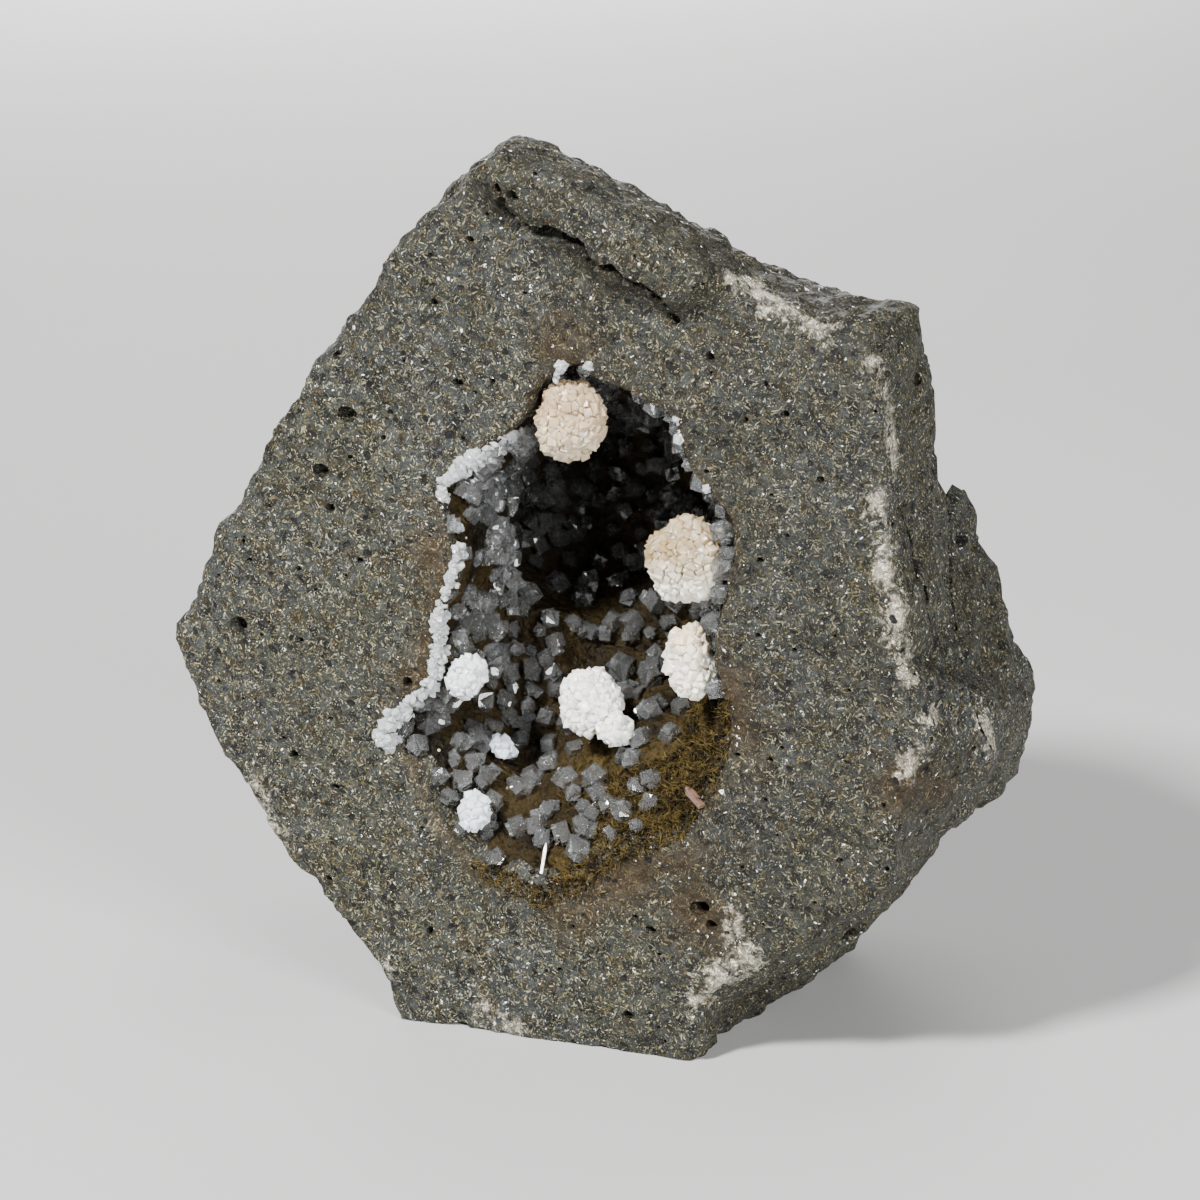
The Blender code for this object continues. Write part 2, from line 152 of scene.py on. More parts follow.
class Surface:
    """A skin that lines of sight and feet of crystals are looked up on."""

    def __init__(self, *meshes: bpy.types.Mesh) -> None:
        """Keep a search tree over some meshes.

        Args:
            meshes: the skins, in the row frame.
        """
        work = bmesh.new()
        for mesh in meshes:
            work.from_mesh(mesh)
        self.tree = BVHTree.FromBMesh(work)
        work.free()

    def seen(self, pixel: Pixel) -> tuple[Vector, Vector] | None:
        """Where the line of sight through a pixel meets the skin.

        Args:
            pixel: column and row in the photograph's frame.

        Returns:
            The point and the skin's normal there, or None where the line misses.
        """
        place, normal, _face, _reach = self.tree.ray_cast(Vector(VIEW.eye), VIEW.sight(pixel))
        return None if place is None else (place, normal)

    def gap(self, place: Vector) -> float:
        """How far a place is from the skin."""
        return self.tree.find_nearest(place)[3]


def link(name: str, mesh: bpy.types.Mesh) -> bpy.types.Object:
    """Show a mesh as an object at the origin.

    Args:
        name: the object's name.
        mesh: its mesh, in the row frame.

    Returns:
        The new object.
    """
    thing = bpy.data.objects.new(name, mesh)
    bpy.context.scene.collection.objects.link(thing)
    return thing


def settle(thing: bpy.types.Object) -> bpy.types.Object:
    """Replace an object's mesh by what its modifiers make of it.

    Args:
        thing: an object with modifiers.

    Returns:
        The same object, without modifiers.
    """
    graph = bpy.context.evaluated_depsgraph_get()
    shaped = bpy.data.meshes.new_from_object(thing.evaluated_get(graph), depsgraph=graph)
    thing.modifiers.clear()
    thing.data = shaped
    return thing


def mesh_of(work: bmesh.types.BMesh, name: str) -> bpy.types.Mesh:
    """Turn a mesh that is being worked on into a plain one.

    Args:
        work: the mesh, which is used up.
        name: the new mesh's name.

    Returns:
        The new mesh.
    """
    mesh = bpy.data.meshes.new(name)
    work.to_mesh(mesh)
    work.free()
    return mesh


def merged_copy(node: str) -> bpy.types.Mesh:
    """A copy of a CAD node's mesh whose loose triangles are merged.

    Args:
        node: the node's name.

    Returns:
        The new mesh.
    """
    work = bmesh.new()
    work.from_mesh(frame["nodes"][node].data)
    bmesh.ops.remove_doubles(work, verts=work.verts, dist=MERGE)
    return mesh_of(work, node + "_copy")


def corners_of(mesh: bpy.types.Mesh) -> np.ndarray:
    """All corner points of a mesh as rows of an array."""
    flat = np.zeros(len(mesh.vertices) * 3, np.float32)
    mesh.vertices.foreach_get("co", flat)
    return flat.reshape(-1, 3).astype(float)


def set_corners(mesh: bpy.types.Mesh, corners: np.ndarray) -> None:
    """Move the corner points of a mesh.

    Args:
        mesh: the mesh to change.
        corners: one row for each corner.
    """
    mesh.vertices.foreach_set("co", corners.astype(np.float32).ravel())
    mesh.update()


def normals_of(mesh: bpy.types.Mesh) -> np.ndarray:
    """Corner normals of a mesh as rows of an array."""
    return np.array([corner.normal for corner in mesh.vertices], float)


def relax(mesh: bpy.types.Mesh, rounds: int, pull: float) -> None:
    """Soften a mesh by drawing each corner towards its neighbours' middle.

    Args:
        mesh: the mesh to change.
        rounds: how often.
        pull: share of the way in each round.
    """
    ends = np.zeros(len(mesh.edges) * 2, np.int32)
    mesh.edges.foreach_get("vertices", ends)
    ends = ends.reshape(-1, 2)
    corners = corners_of(mesh)
    count = np.bincount(ends.ravel(), minlength=len(corners)).reshape(-1, 1)
    for _round in range(rounds):
        total = np.zeros_like(corners)
        np.add.at(total, ends[:, 0], corners[ends[:, 1]])
        np.add.at(total, ends[:, 1], corners[ends[:, 0]])
        corners += (total / np.maximum(count, 1) - corners) * pull
    set_corners(mesh, corners)


def displace(mesh: bpy.types.Mesh, rule: Callable[[Vector, Vector], float]) -> None:
    """Move each corner along its normal.

    Args:
        mesh: the mesh to change.
        rule: gives the height in millimetres from a place in millimetres and a normal.
    """
    corners = corners_of(mesh)
    normals = normals_of(mesh)
    for index in range(len(corners)):
        height = rule(Vector(corners[index] / MM), Vector(normals[index]))
        corners[index] += normals[index] * height * MM
    set_corners(mesh, corners)


def set_mask(mesh: bpy.types.Mesh, name: str, values: Sequence[float]) -> None:
    """Store one value for each corner for the finish to read.

    Args:
        mesh: the mesh to mark.
        name: the attribute's name.
        values: one number for each corner.
    """
    layer = mesh.attributes.new(name, "FLOAT", "POINT")
    layer.data.foreach_set("value", np.asarray(values, np.float32))


def smooth_step(low: float, high: float, value: float) -> float:
    """Zero at low, one at high and smooth between; low may be above high."""
    share = min(1.0, max(0.0, (value - low) / (high - low)))
    return share * share * (3.0 - 2.0 * share)


def along(line: Sequence[Pixel], pitch: float) -> Iterator[Pixel]:
    """Pixels along a line that is given by its corners, about one pitch apart."""
    for start, end in zip(line, line[1:]):
        steps = max(1, round(math.dist(start, end) / pitch))
        for share in (step / steps for step in range(steps)):
            yield start[0] + (end[0] - start[0]) * share, start[1] + (end[1] - start[1]) * share


def traced(skin: Surface, line: Sequence[Pixel], pitch: float) -> list[tuple[Vector, Vector]]:
    """Points along a line that is drawn on the skin as the photograph shows it.

    Args:
        skin: what the line lies on.
        line: its corners in the photograph.
        pitch: pixels between two points.

    Returns:
        Points and normals on the skin.
    """
    hits = (skin.seen(pixel) for pixel in along(line, pitch))
    return [hit for hit in hits if hit is not None]


def places_on(skin: Surface, line: Sequence[Pixel], pitch: float = 5.0) -> list[Vector]:
    """The points along a line that is drawn on the skin, without their normals."""
    return [place for place, _normal in traced(skin, line, pitch)]


def tree_of(places: Sequence[Vector]) -> KDTree:
    """A search tree over some places."""
    tree = KDTree(len(places))
    for index, place in enumerate(places):
        tree.insert(place, index)
    tree.balance()
    return tree


def nearness(corners: np.ndarray, places: Sequence[Vector], reach: float) -> list[float]:
    """How near each corner is to the nearest of some places.

    Args:
        corners: rows of points.
        places: the places.
        reach: the distance at which nearness is gone.

    Returns:
        One at a place, down to zero at reach.
    """
    tree = tree_of(places)
    return [smooth_step(reach, 0.0, tree.find(corner)[2]) for corner in corners]


# Places deep in the upper room that are given painted shade, and how far it reaches.
DARK_ROOM = ((520, 470), (530, 500), (515, 530), (525, 560), (560, 560), (590, 540), (600, 500),
             (580, 460), (620, 440))
ROOM_REACH = 6.0 * MM


def mark_room_shade(mesh: bpy.types.Mesh, skin: Surface) -> None:
    """Mark the part of a mesh that lies deep in the upper room, where the minerals get painted shade."""
    deep = places_on(skin, DARK_ROOM, 12.0)
    set_mask(mesh, "gloom", nearness(corners_of(mesh), deep, ROOM_REACH))


class Graph:
    """A node tree that is written one node a line."""

    def __init__(self, tree: bpy.types.NodeTree) -> None:
        """Keep the tree.

        Args:
            tree: the node tree to write in.
        """
        self.tree = tree

    def add(self, kind: str, **values: object) -> bpy.types.Node:
        """Add a node and fill in its settings and inputs.

        Args:
            kind: the node's type name.
            values: settings by attribute name, or inputs by name with spaces as underscores.

        Returns:
            The node.
        """
        node = self.tree.nodes.new(kind)
        inputs = {}
        for name, value in values.items():
            if name[0].isupper():
                inputs[name.replace("_", " ")] = value
            else:
                setattr(node, name, value)
        for name, value in inputs.items():
            self.feed(node.inputs[name], value)
        return node

    def feed(self, socket: bpy.types.NodeSocket, value: object) -> None:
        """Link a socket or set its value.

        Args:
            socket: an input.
            value: an output socket, or a plain value.
        """
        if isinstance(value, bpy.types.NodeSocket):
            self.tree.links.new(value, socket)
        else:
            socket.default_value = value

    def math(self, operation: str, first: object, second: object = 0.0) -> bpy.types.NodeSocket:
        """The result of a Math node.

        Args:
            operation: its operation.
            first: first operand.
            second: second operand.

        Returns:
            The output socket.
        """
        node = self.add("ShaderNodeMath", operation=operation)
        self.feed(node.inputs[0], first)
        self.feed(node.inputs[1], second)
        return node.outputs[0]

    def vector(self, operation: str, first: object, second: object = None) -> bpy.types.NodeSocket:
        """The result of a Vector Math node.

        Args:
            operation: its operation.
            first: first operand.
            second: second operand, or the number that SCALE takes.

        Returns:
            The output socket.
        """
        node = self.add("ShaderNodeVectorMath", operation=operation)
        self.feed(node.inputs[0], first)
        if second is not None:
            self.feed(node.inputs["Scale" if operation == "SCALE" else 1], second)
        return node.outputs[0]

    def span(self, value: object, low: float, high: float, first: float = 0.0,
             last: float = 1.0) -> bpy.types.NodeSocket:
        """A value brought from one span to another, smooth and clamped.

        Args:
            value: the value.
            low: start of its span.
            high: end of its span.
            first: result at the start.
            last: result at the end.

        Returns:
            The output socket.
        """
        node = self.add("ShaderNodeMapRange", interpolation_type="SMOOTHSTEP", Value=value,
                        From_Min=low, From_Max=high, To_Min=first, To_Max=last)
        return node.outputs["Result"]

    def mix(self, share: object, first: object, second: object,
            blend: str = "MIX") -> bpy.types.NodeSocket:
        """A mix of two colours.

        Args:
            share: how much of the second.
            first: a colour or socket.
            second: a colour or socket.
            blend: the way they are blended.

        Returns:
            The output socket.
        """
        node = self.add("ShaderNodeMix", data_type="RGBA", blend_type=blend)
        self.feed(node.inputs[0], share)
        self.feed(node.inputs[6], rgba(first))
        self.feed(node.inputs[7], rgba(second))
        return node.outputs[2]

    def noise(self, place: object, scale: object, detail: float = 2.0,
              roughness: float = 0.5) -> bpy.types.NodeSocket:
        """A Noise texture's value at a place."""
        return self.add("ShaderNodeTexNoise", Vector=place, Scale=scale, Detail=detail,
                        Roughness=roughness).outputs["Fac"]

    def cells(self, place: object, scale: object) -> bpy.types.NodeOutputs:
        """A Voronoi texture's outputs at a place."""
        return self.add("ShaderNodeTexVoronoi", Vector=place, Scale=scale).outputs

    def lots(self, cells: bpy.types.NodeOutputs) -> bpy.types.NodeOutputs:
        """Three random numbers for each cell."""
        return self.add("ShaderNodeSeparateColor", Color=cells["Color"]).outputs

    def mask(self, name: str) -> bpy.types.NodeSocket:
        """A mesh's own mask by name."""
        return self.add("ShaderNodeAttribute", attribute_name=name).outputs["Fac"]

    def use(self, tree: bpy.types.NodeTree, **values: object) -> bpy.types.NodeOutputs:
        """The outputs of one of this file's node groups, fed with values."""
        return self.add("ShaderNodeGroup", node_tree=tree, **values).outputs

    def specks(self, place: object, pattern: tuple[float, float, float]) -> bpy.types.NodeSocket:
        """A mask of scattered specks, from their scale, share and radius."""
        scale, share, radius = pattern
        return self.use(SPECKS, Vector=place, Scale=scale, Share=share, Radius=radius)[0]

    def tilted(self, place: object, scale: float, strength: float,
               rounded: float = 1.0) -> bpy.types.NodeSocket:
        """The surface's normal, tilted at random in every grain.

        Args:
            place: the coordinates.
            scale: of the grains.
            strength: of the tilt.
            rounded: how far flat faces are rounded off, from not at all to all the way.

        Returns:
            The normal.
        """
        skin = self.add("ShaderNodeNewGeometry").outputs
        facing = self.add("ShaderNodeMix", data_type="VECTOR")
        self.feed(facing.inputs[0], rounded)
        self.feed(facing.inputs[4], skin["True Normal"])
        self.feed(facing.inputs[5], skin["Normal"])
        tilt = self.use(FACETS, Vector=place, Scale=scale, Strength=strength)["Tilt"]
        return self.vector("NORMALIZE", self.vector("ADD", facing.outputs[1], tilt))

    def bump(self, height: object, relief: float, strength: float,
             normal: object) -> bpy.types.NodeSocket:
        """The normal of a fine relief over another normal.

        Args:
            height: the relief's height.
            relief: what a height of one stands for, in metres.
            strength: of the relief.
            normal: the normal under it.

        Returns:
            The normal.
        """
        return self.add("ShaderNodeBump", Strength=strength, Distance=relief, Height=height,
                        Normal=normal).outputs[0]


def rgba(colour: object) -> object:
    """A colour with its fourth value, or the socket it is."""
    return (*colour, 1.0) if isinstance(colour, tuple) and len(colour) == 3 else colour


def new_finish(name: str) -> tuple[bpy.types.Material, Graph, bpy.types.NodeInputs, bpy.types.NodeSocket]:
    """A fresh node material.

    Args:
        name: the material's name.

    Returns:
        The material, its graph, its Principled shader's inputs and its Object coordinates.
    """
    finish = bpy.data.materials.new(name)
    finish.use_nodes = True
    graph = Graph(finish.node_tree)
    shader = finish.node_tree.nodes["Principled BSDF"].inputs
    return finish, graph, shader, graph.add("ShaderNodeTexCoord").outputs["Object"]


def new_group(name: str, inputs: dict[str, str], outputs: dict[str, str]) -> tuple[
        bpy.types.NodeTree, Graph, bpy.types.NodeOutputs, bpy.types.NodeInputs]:
    """A fresh shader node group.

    Args:
        name: the group's name.
        inputs: the kind of each input by name.
        outputs: the kind of each output by name.

    Returns:
        The group, its graph, what it is given and what it has to give.
    """
    tree = bpy.data.node_groups.new(name, "ShaderNodeTree")
    for way, sockets in (("INPUT", inputs), ("OUTPUT", outputs)):
        for socket, kind in sockets.items():
            tree.interface.new_socket(socket, in_out=way, socket_type="NodeSocket" + kind)
    graph = Graph(tree)
    return tree, graph, graph.add("NodeGroupInput").outputs, graph.add("NodeGroupOutput").inputs


def lath_group() -> bpy.types.NodeTree:
    """Slim feldspar laths that lie one way in the rock, as a mask and a tone for each lath."""
    tree, graph, given, result = new_group(
        "laths",
        {"Vector": "Vector", "Lie": "Vector", "Scale": "Float", "Slimness": "Float", "Fill": "Float"},
        {"Mask": "Float", "Tone": "Float"})
    turned = graph.add("ShaderNodeVectorRotate", rotation_type="EULER_XYZ",
                       Vector=given["Vector"], Rotation=given["Lie"]).outputs[0]
    stretch = graph.add("ShaderNodeCombineXYZ", X=1.0, Y=given["Slimness"], Z=given["Slimness"])
    cells = graph.cells(graph.vector("MULTIPLY", turned, stretch.outputs[0]), given["Scale"])
    edge = graph.math("SUBTRACT", given["Fill"], cells["Distance"])
    graph.feed(result["Mask"], graph.span(edge, -0.03, 0.07))
    graph.feed(result["Tone"], graph.lots(cells)[0])
    return tree


def grain_group() -> bpy.types.NodeTree:
    """Fine uneven grain at two scales, for the height of any mineral skin."""
    tree, graph, given, result = new_group(
        "grain", {"Vector": "Vector", "Scale": "Float"}, {"Height": "Float"})
    cells = graph.cells(given["Vector"], given["Scale"])
    fine = graph.noise(given["Vector"], graph.math("MULTIPLY", given["Scale"], 2.3), 3.0)
    graph.feed(result["Height"], graph.math("ADD", cells["Distance"], fine))
    return tree


def facet_group() -> bpy.types.NodeTree:
    """A random tilt for every grain of a crystalline skin."""
    tree, graph, given, result = new_group(
        "facets", {"Vector": "Vector", "Scale": "Float", "Strength": "Float"}, {"Tilt": "Vector"})
    cells = graph.cells(given["Vector"], given["Scale"])
    centred = graph.vector("SUBTRACT", cells["Color"], (0.5, 0.5, 0.5))
    graph.feed(result["Tilt"], graph.vector("SCALE", centred, given["Strength"]))
    return tree


def speck_group() -> bpy.types.NodeTree:
    """Scattered round specks or pinholes, some cells of a Voronoi pattern at random."""
    tree, graph, given, result = new_group(
        "specks", {"Vector": "Vector", "Scale": "Float", "Share": "Float", "Radius": "Float"},
        {"Mask": "Float"})
    cells = graph.cells(given["Vector"], given["Scale"])
    lots = graph.lots(cells)
    chosen = graph.math("LESS_THAN", lots[0], given["Share"])
    grown = graph.math("MULTIPLY", given["Radius"], graph.math("ADD", lots[1], 0.4))
    inside = graph.span(graph.math("SUBTRACT", grown, cells["Distance"]), -0.02, 0.06)
    graph.feed(result["Mask"], graph.math("MULTIPLY", chosen, inside))
    return tree


LATHS = lath_group()
GRAIN = grain_group()
FACETS = facet_group()
SPECKS = speck_group()


Colour = tuple[float, float, float]


@dataclass(frozen=True)
class BasaltFinish:
    """Doleritic basalt: slim pale and tan feldspar laths between dark grains, with glint specks that are
    partly painted highlight and pinholes painted near-black as shade.

    Specks are given by their scale, the share of cells that hold one, and their radius.
    """

    black: Colour = (0.004, 0.004, 0.0035)
    grey: Colour = (0.022, 0.025, 0.024)
    olive: Colour = (0.018, 0.013, 0.004)
    pale: Colour = (0.30, 0.285, 0.205)
    blue: Colour = (0.042, 0.048, 0.047)
    tan: Colour = (0.098, 0.082, 0.038)
    # Near-white colour of the glint specks: a painted highlight on shiny grains.
    painted_glint: Colour = (0.95, 0.95, 0.92)
    bruise: Colour = (0.74, 0.67, 0.53)
    # Near-black painted shade inside the pinholes.
    pit_shade: Colour = (0.002, 0.0016, 0.0012)
    stain: Colour = (0.048, 0.028, 0.008)
    warm_tint: Colour = (0.86, 0.80, 0.55)
    # Darkening colour: painted shade on the front and in the groove, and darker faces turned up or away
    # from the front.
    weather_and_shade_tint: Colour = (0.28, 0.26, 0.22)
    rust_tint: Colour = (0.62, 0.44, 0.20)
    painted_glints: tuple[float, float, float] = (2300.0, 0.11, 0.33)
    shaded_pinholes: tuple[float, float, float] = (520.0, 0.34, 0.15)
    fine_shaded_pinholes: tuple[float, float, float] = (1050.0, 0.20, 0.22)
    grain_scale: float = 1050.0
    grit_scale: float = 2200.0
    facets: tuple[float, float] = (1500.0, 0.55)
    lath_scale: float = 720.0
    slimness: float = 4.8
    fill: float = 0.31
    bend: float = 0.0007
    relief: float = 0.00013
    shine: float = 0.32

    LIES = ((0.0, 0.25, 0.1), (0.1, 1.05, 0.1), (0.0, 1.85, 0.15), (0.2, 2.65, 0.0), (0.3, 0.6, 1.2),
            (1.2, 1.4, 0.4))

    def build(self) -> bpy.types.Material:
        """Make the material."""
        finish, graph, shader, place = new_finish("basalt")
        place = self.bent(graph, place)
        colour, height = self.laths(graph, place, *self.grains(graph, place))
        colour = self.weathered_and_shaded(graph, place, colour)
        crushed = graph.math("MULTIPLY", self.worn(graph, place), graph.span(height, 0.2, 0.8, 0.30, 0.95))
        colour = graph.mix(crushed, colour, self.bruise)
        # Glint specks: shiny grains with low roughness, their near-white colour a painted highlight.
        painted_glints = graph.specks(place, self.painted_glints)
        painted_glints = graph.math("MULTIPLY", painted_glints, graph.span(height, 0.35, 0.75))
        colour = graph.mix(painted_glints, colour, self.painted_glint)
        # Pinholes: dents in the bump, painted near-black as the shade inside them.
        shaded_pins = graph.specks(place, self.shaded_pinholes)
        shaded_pins = graph.math("MAXIMUM", shaded_pins, graph.specks(place, self.fine_shaded_pinholes))
        graph.feed(shader["Base Color"], graph.mix(shaded_pins, colour, self.pit_shade))
        graph.feed(shader["Roughness"], graph.span(painted_glints, 0.0, 1.0, 0.62, 0.16))
        shader["Specular IOR Level"].default_value = self.shine
        grit = graph.use(GRAIN, Vector=place, Scale=self.grit_scale)[0]
        height = graph.math("ADD", height, graph.math("MULTIPLY", grit, 0.5))
        height = graph.math("SUBTRACT", height, graph.math("MULTIPLY", shaded_pins, 2.5))
        normal = graph.tilted(place, *self.facets)
        graph.feed(shader["Normal"], graph.bump(height, self.relief, 1.0, normal))
        return finish

    def bent(self, graph: Graph, place: bpy.types.NodeSocket) -> bpy.types.NodeSocket:
        """Coordinates that are bent a little, so that no lath is quite straight.

        Args:
            graph: the material's graph.
            place: Object coordinates.

        Returns:
            The bent coordinates.
        """
        swirl = graph.add("ShaderNodeTexNoise", Vector=place, Scale=850.0, Detail=1.0)
        push = graph.vector("SCALE", swirl.outputs["Color"], self.bend)
        return graph.vector("ADD", push, place)

    def grains(self, graph: Graph,
               place: bpy.types.NodeSocket) -> tuple[bpy.types.NodeSocket, bpy.types.NodeSocket]:
        """The grains between the laths.

        Args:
            graph: the material's graph.
            place: the bent coordinates.

        Returns:
            Their colour and height.
        """
        tone = graph.lots(graph.cells(place, self.grain_scale))[0]
        colour = graph.mix(graph.span(tone, 0.16, 0.34), self.black, self.grey)
        cloud = graph.noise(place, 300.0, 3.0, 0.6)
        rusty = graph.span(graph.math("ADD", tone, cloud), 1.20, 1.32)
        return graph.mix(rusty, colour, self.olive), graph.math("MULTIPLY", tone, 0.35)

    def laths(self, graph: Graph, place: bpy.types.NodeSocket, colour: bpy.types.NodeSocket,
              height: bpy.types.NodeSocket) -> tuple[bpy.types.NodeSocket, bpy.types.NodeSocket]:
        """Laths of every lie laid over the grains: black, tan, bluish and pale ones.

        Args:
            graph: the material's graph.
            place: the bent coordinates.
            colour: the grains' colour.
            height: the grains' height.

        Returns:
            The colour and height with the laths.
        """
        for number, lie in enumerate(self.LIES):
            laths = graph.use(LATHS, Vector=place, Lie=lie, Slimness=self.slimness, Fill=self.fill,
                              Scale=self.lath_scale * (1.0 + 0.11 * number))
            mask, tone = laths["Mask"], laths["Tone"]
            cool = graph.mix(graph.span(tone, 0.70, 0.96), self.blue, self.pale)
            light = graph.mix(graph.span(tone, 0.46, 0.40), cool, self.tan)
            light = graph.mix(graph.span(tone, 0.24, 0.18), light, self.black)
            colour = graph.mix(mask, colour, light)
            raised = graph.math("MULTIPLY", mask, graph.span(tone, 0.15, 0.8, 0.3, 0.95))
            height = graph.math("MAXIMUM", height, raised)
        return colour, height

    @staticmethod
    def worn(graph: Graph, place: bpy.types.NodeSocket) -> bpy.types.NodeSocket:
        """Where the rock is crushed pale, broken up into fibres and crumbs.

        Args:
            graph: the material's graph.
            place: the bent coordinates.

        Returns:
            A mask.
        """
        total = graph.mask("bruise")
        for share, scale, detail, roughness in ((1.3, 260.0, 2.0, 0.5), (2.4, 700.0, 3.0, 0.65),
                                                (1.5, 2100.0, 2.0, 0.6)):
            cloud = graph.noise(place, scale, detail, roughness)
            total = graph.math("ADD", total, graph.math("MULTIPLY", cloud, share))
        return graph.span(total, 3.15, 4.05)

    def weathered_and_shaded(self, graph: Graph, place: bpy.types.NodeSocket,
                  colour: bpy.types.NodeSocket) -> bpy.types.NodeSocket:
        """Add warm clouds, a darkening that is partly painted shade, and brown stain by the block's own
        masks.

        Args:
            graph: the material's graph.
            place: the bent coordinates.
            colour: the fresh rock.

        Returns:
            A colour socket.
        """
        patch = graph.noise(place, 190.0, 4.0, 0.65)
        cloud = graph.span(graph.noise(place, 70.0, 3.0, 0.6), 0.35, 0.62, 0.0, 0.55)
        colour = graph.mix(cloud, colour, self.warm_tint, "MULTIPLY")
        # Darkening by the weather mask: painted shade towards the front's right and top and in the groove
        # under the slab, and darker faces turned up or away from the front.
        dark = graph.math("MULTIPLY", graph.mask("weather"), graph.span(patch, 0.35, 0.6, 0.4, 1.0))
        colour = graph.mix(dark, colour, self.weather_and_shade_tint, "MULTIPLY")
        rust = graph.math("MULTIPLY", graph.mask("stain"), graph.span(patch, 0.3, 0.62, 0.25, 0.9))
        colour = graph.mix(rust, colour, self.rust_tint, "MULTIPLY")
        return graph.mix(graph.math("MULTIPLY", rust, 0.35), colour, self.stain)


@dataclass(frozen=True)
class LiningFinish:
    """The olive-brown skin of the hollow, gold and fuzzy at the lower right, with painted glints and
    painted shade deep in the upper room.
    """

    dark: Colour = (0.005, 0.0034, 0.0012)
    olive: Colour = (0.024, 0.0155, 0.0042)
    gold: Colour = (0.062, 0.042, 0.011)
    # Colour of the painted glints.
    painted_glint: Colour = (0.5, 0.42, 0.28)
    painted_glints: tuple[float, float, float] = (1700.0, 0.03, 0.22)
    facets: tuple[float, float] = (2400.0, 0.6)
    relief: float = 0.0003
    shine: float = 0.12
    # Share of painted shade deep in the upper room.
    gloom: float = 0.8

    def build(self) -> bpy.types.Material:
        """Make the material."""
        finish, graph, shader, place = new_finish("vug lining")
        patch = graph.noise(place, 260.0, 4.0, 0.6)
        fine = graph.noise(place, 1700.0, 3.0, 0.6)
        colour = graph.mix(graph.span(patch, 0.36, 0.62), self.dark, self.olive)
        gold = graph.math("MULTIPLY", graph.mask("gold"), graph.span(fine, 0.38, 0.60))
        colour = graph.mix(gold, colour, self.gold)
        # Painted glints.
        colour = graph.mix(graph.specks(place, self.painted_glints), colour, self.painted_glint)
        # Painted shade deep in the upper room: the lining is darkened there.
        gloom = graph.math("MULTIPLY", graph.mask("gloom"), self.gloom)
        graph.feed(shader["Base Color"], graph.mix(gloom, colour, self.dark))
        graph.feed(shader["Roughness"], graph.span(fine, 0.3, 0.7, 0.42, 0.75))
        shader["Specular IOR Level"].default_value = self.shine
        grain = graph.use(GRAIN, Vector=place, Scale=1500.0)[0]
        graph.feed(shader["Normal"],
                   graph.bump(grain, self.relief, 1.0, graph.tilted(place, *self.facets)))
        return finish


@dataclass(frozen=True)
class FuzzFinish:
    """Gold-brown fibres."""

    dark: Colour = (0.012, 0.008, 0.0025)
    gold: Colour = (0.100, 0.068, 0.018)

    def build(self) -> bpy.types.Material:
        """Make the material."""
        finish, graph, shader, place = new_finish("gold fuzz")
        cloud = graph.span(graph.noise(place, 900.0, 2.0, 0.6), 0.35, 0.65)
        graph.feed(shader["Base Color"], graph.mix(cloud, self.dark, self.gold))
        shader["Roughness"].default_value = 0.4
        shader["Specular IOR Level"].default_value = 0.2
        return finish


@dataclass(frozen=True)
class ChabaziteFinish:
    """Clear to milky grey chabazite, with painted shade deep in the dark room and at the crystals' rims.

    Fields:
        name: the material's name.
        clear: colour of the clear parts.
        milky: colour of the clouded parts.
        transmission: share of the light that passes.
        room_shade_grey: colour of the painted shade deep in the dark room.
        gloom: how much of that painted shade the darkest places take.
        facets: scale and strength of the faces' unevenness, and how far their edges are rounded.
    """

    name: str = "chabazite"
    clear: Colour = (0.70, 0.72, 0.72)
    milky: Colour = (0.95, 0.97, 0.98)
    transmission: float = 0.94
    room_shade_grey: Colour = (0.22, 0.22, 0.21)
    gloom: float = 0.85
    facets: tuple[float, float, float] = (900.0, 0.06, 0.40)

    def build(self) -> bpy.types.Material:
        """Make the material."""
        finish, graph, shader, place = new_finish(self.name)
        cloud = graph.noise(place, 420.0)
        # Milkiness falls off where the faces turn away from the eye: painted shade at the crystals' rims.
        away = graph.add("ShaderNodeLayerWeight", Blend=0.35).outputs["Facing"]
        milk_and_rim_shade = graph.math("SUBTRACT", graph.span(cloud, 0.35, 0.65, 0.3, 1.0), graph.span(away, 0.2, 0.7))
        colour = graph.mix(milk_and_rim_shade, self.clear, self.milky)
        # Painted shade deep in the upper room: the crystals turn a dark grey there.
        gloom = graph.math("MULTIPLY", graph.mask("gloom"), self.gloom)
        graph.feed(shader["Base Color"], graph.mix(gloom, colour, self.room_shade_grey))
        graph.feed(shader["Roughness"], graph.span(cloud, 0.35, 0.7, 0.03, 0.10))
        shader["Transmission Weight"].default_value = self.transmission
        shader["IOR"].default_value = 1.48
        graph.feed(shader["Normal"], graph.tilted(place, *self.facets))
        return finish


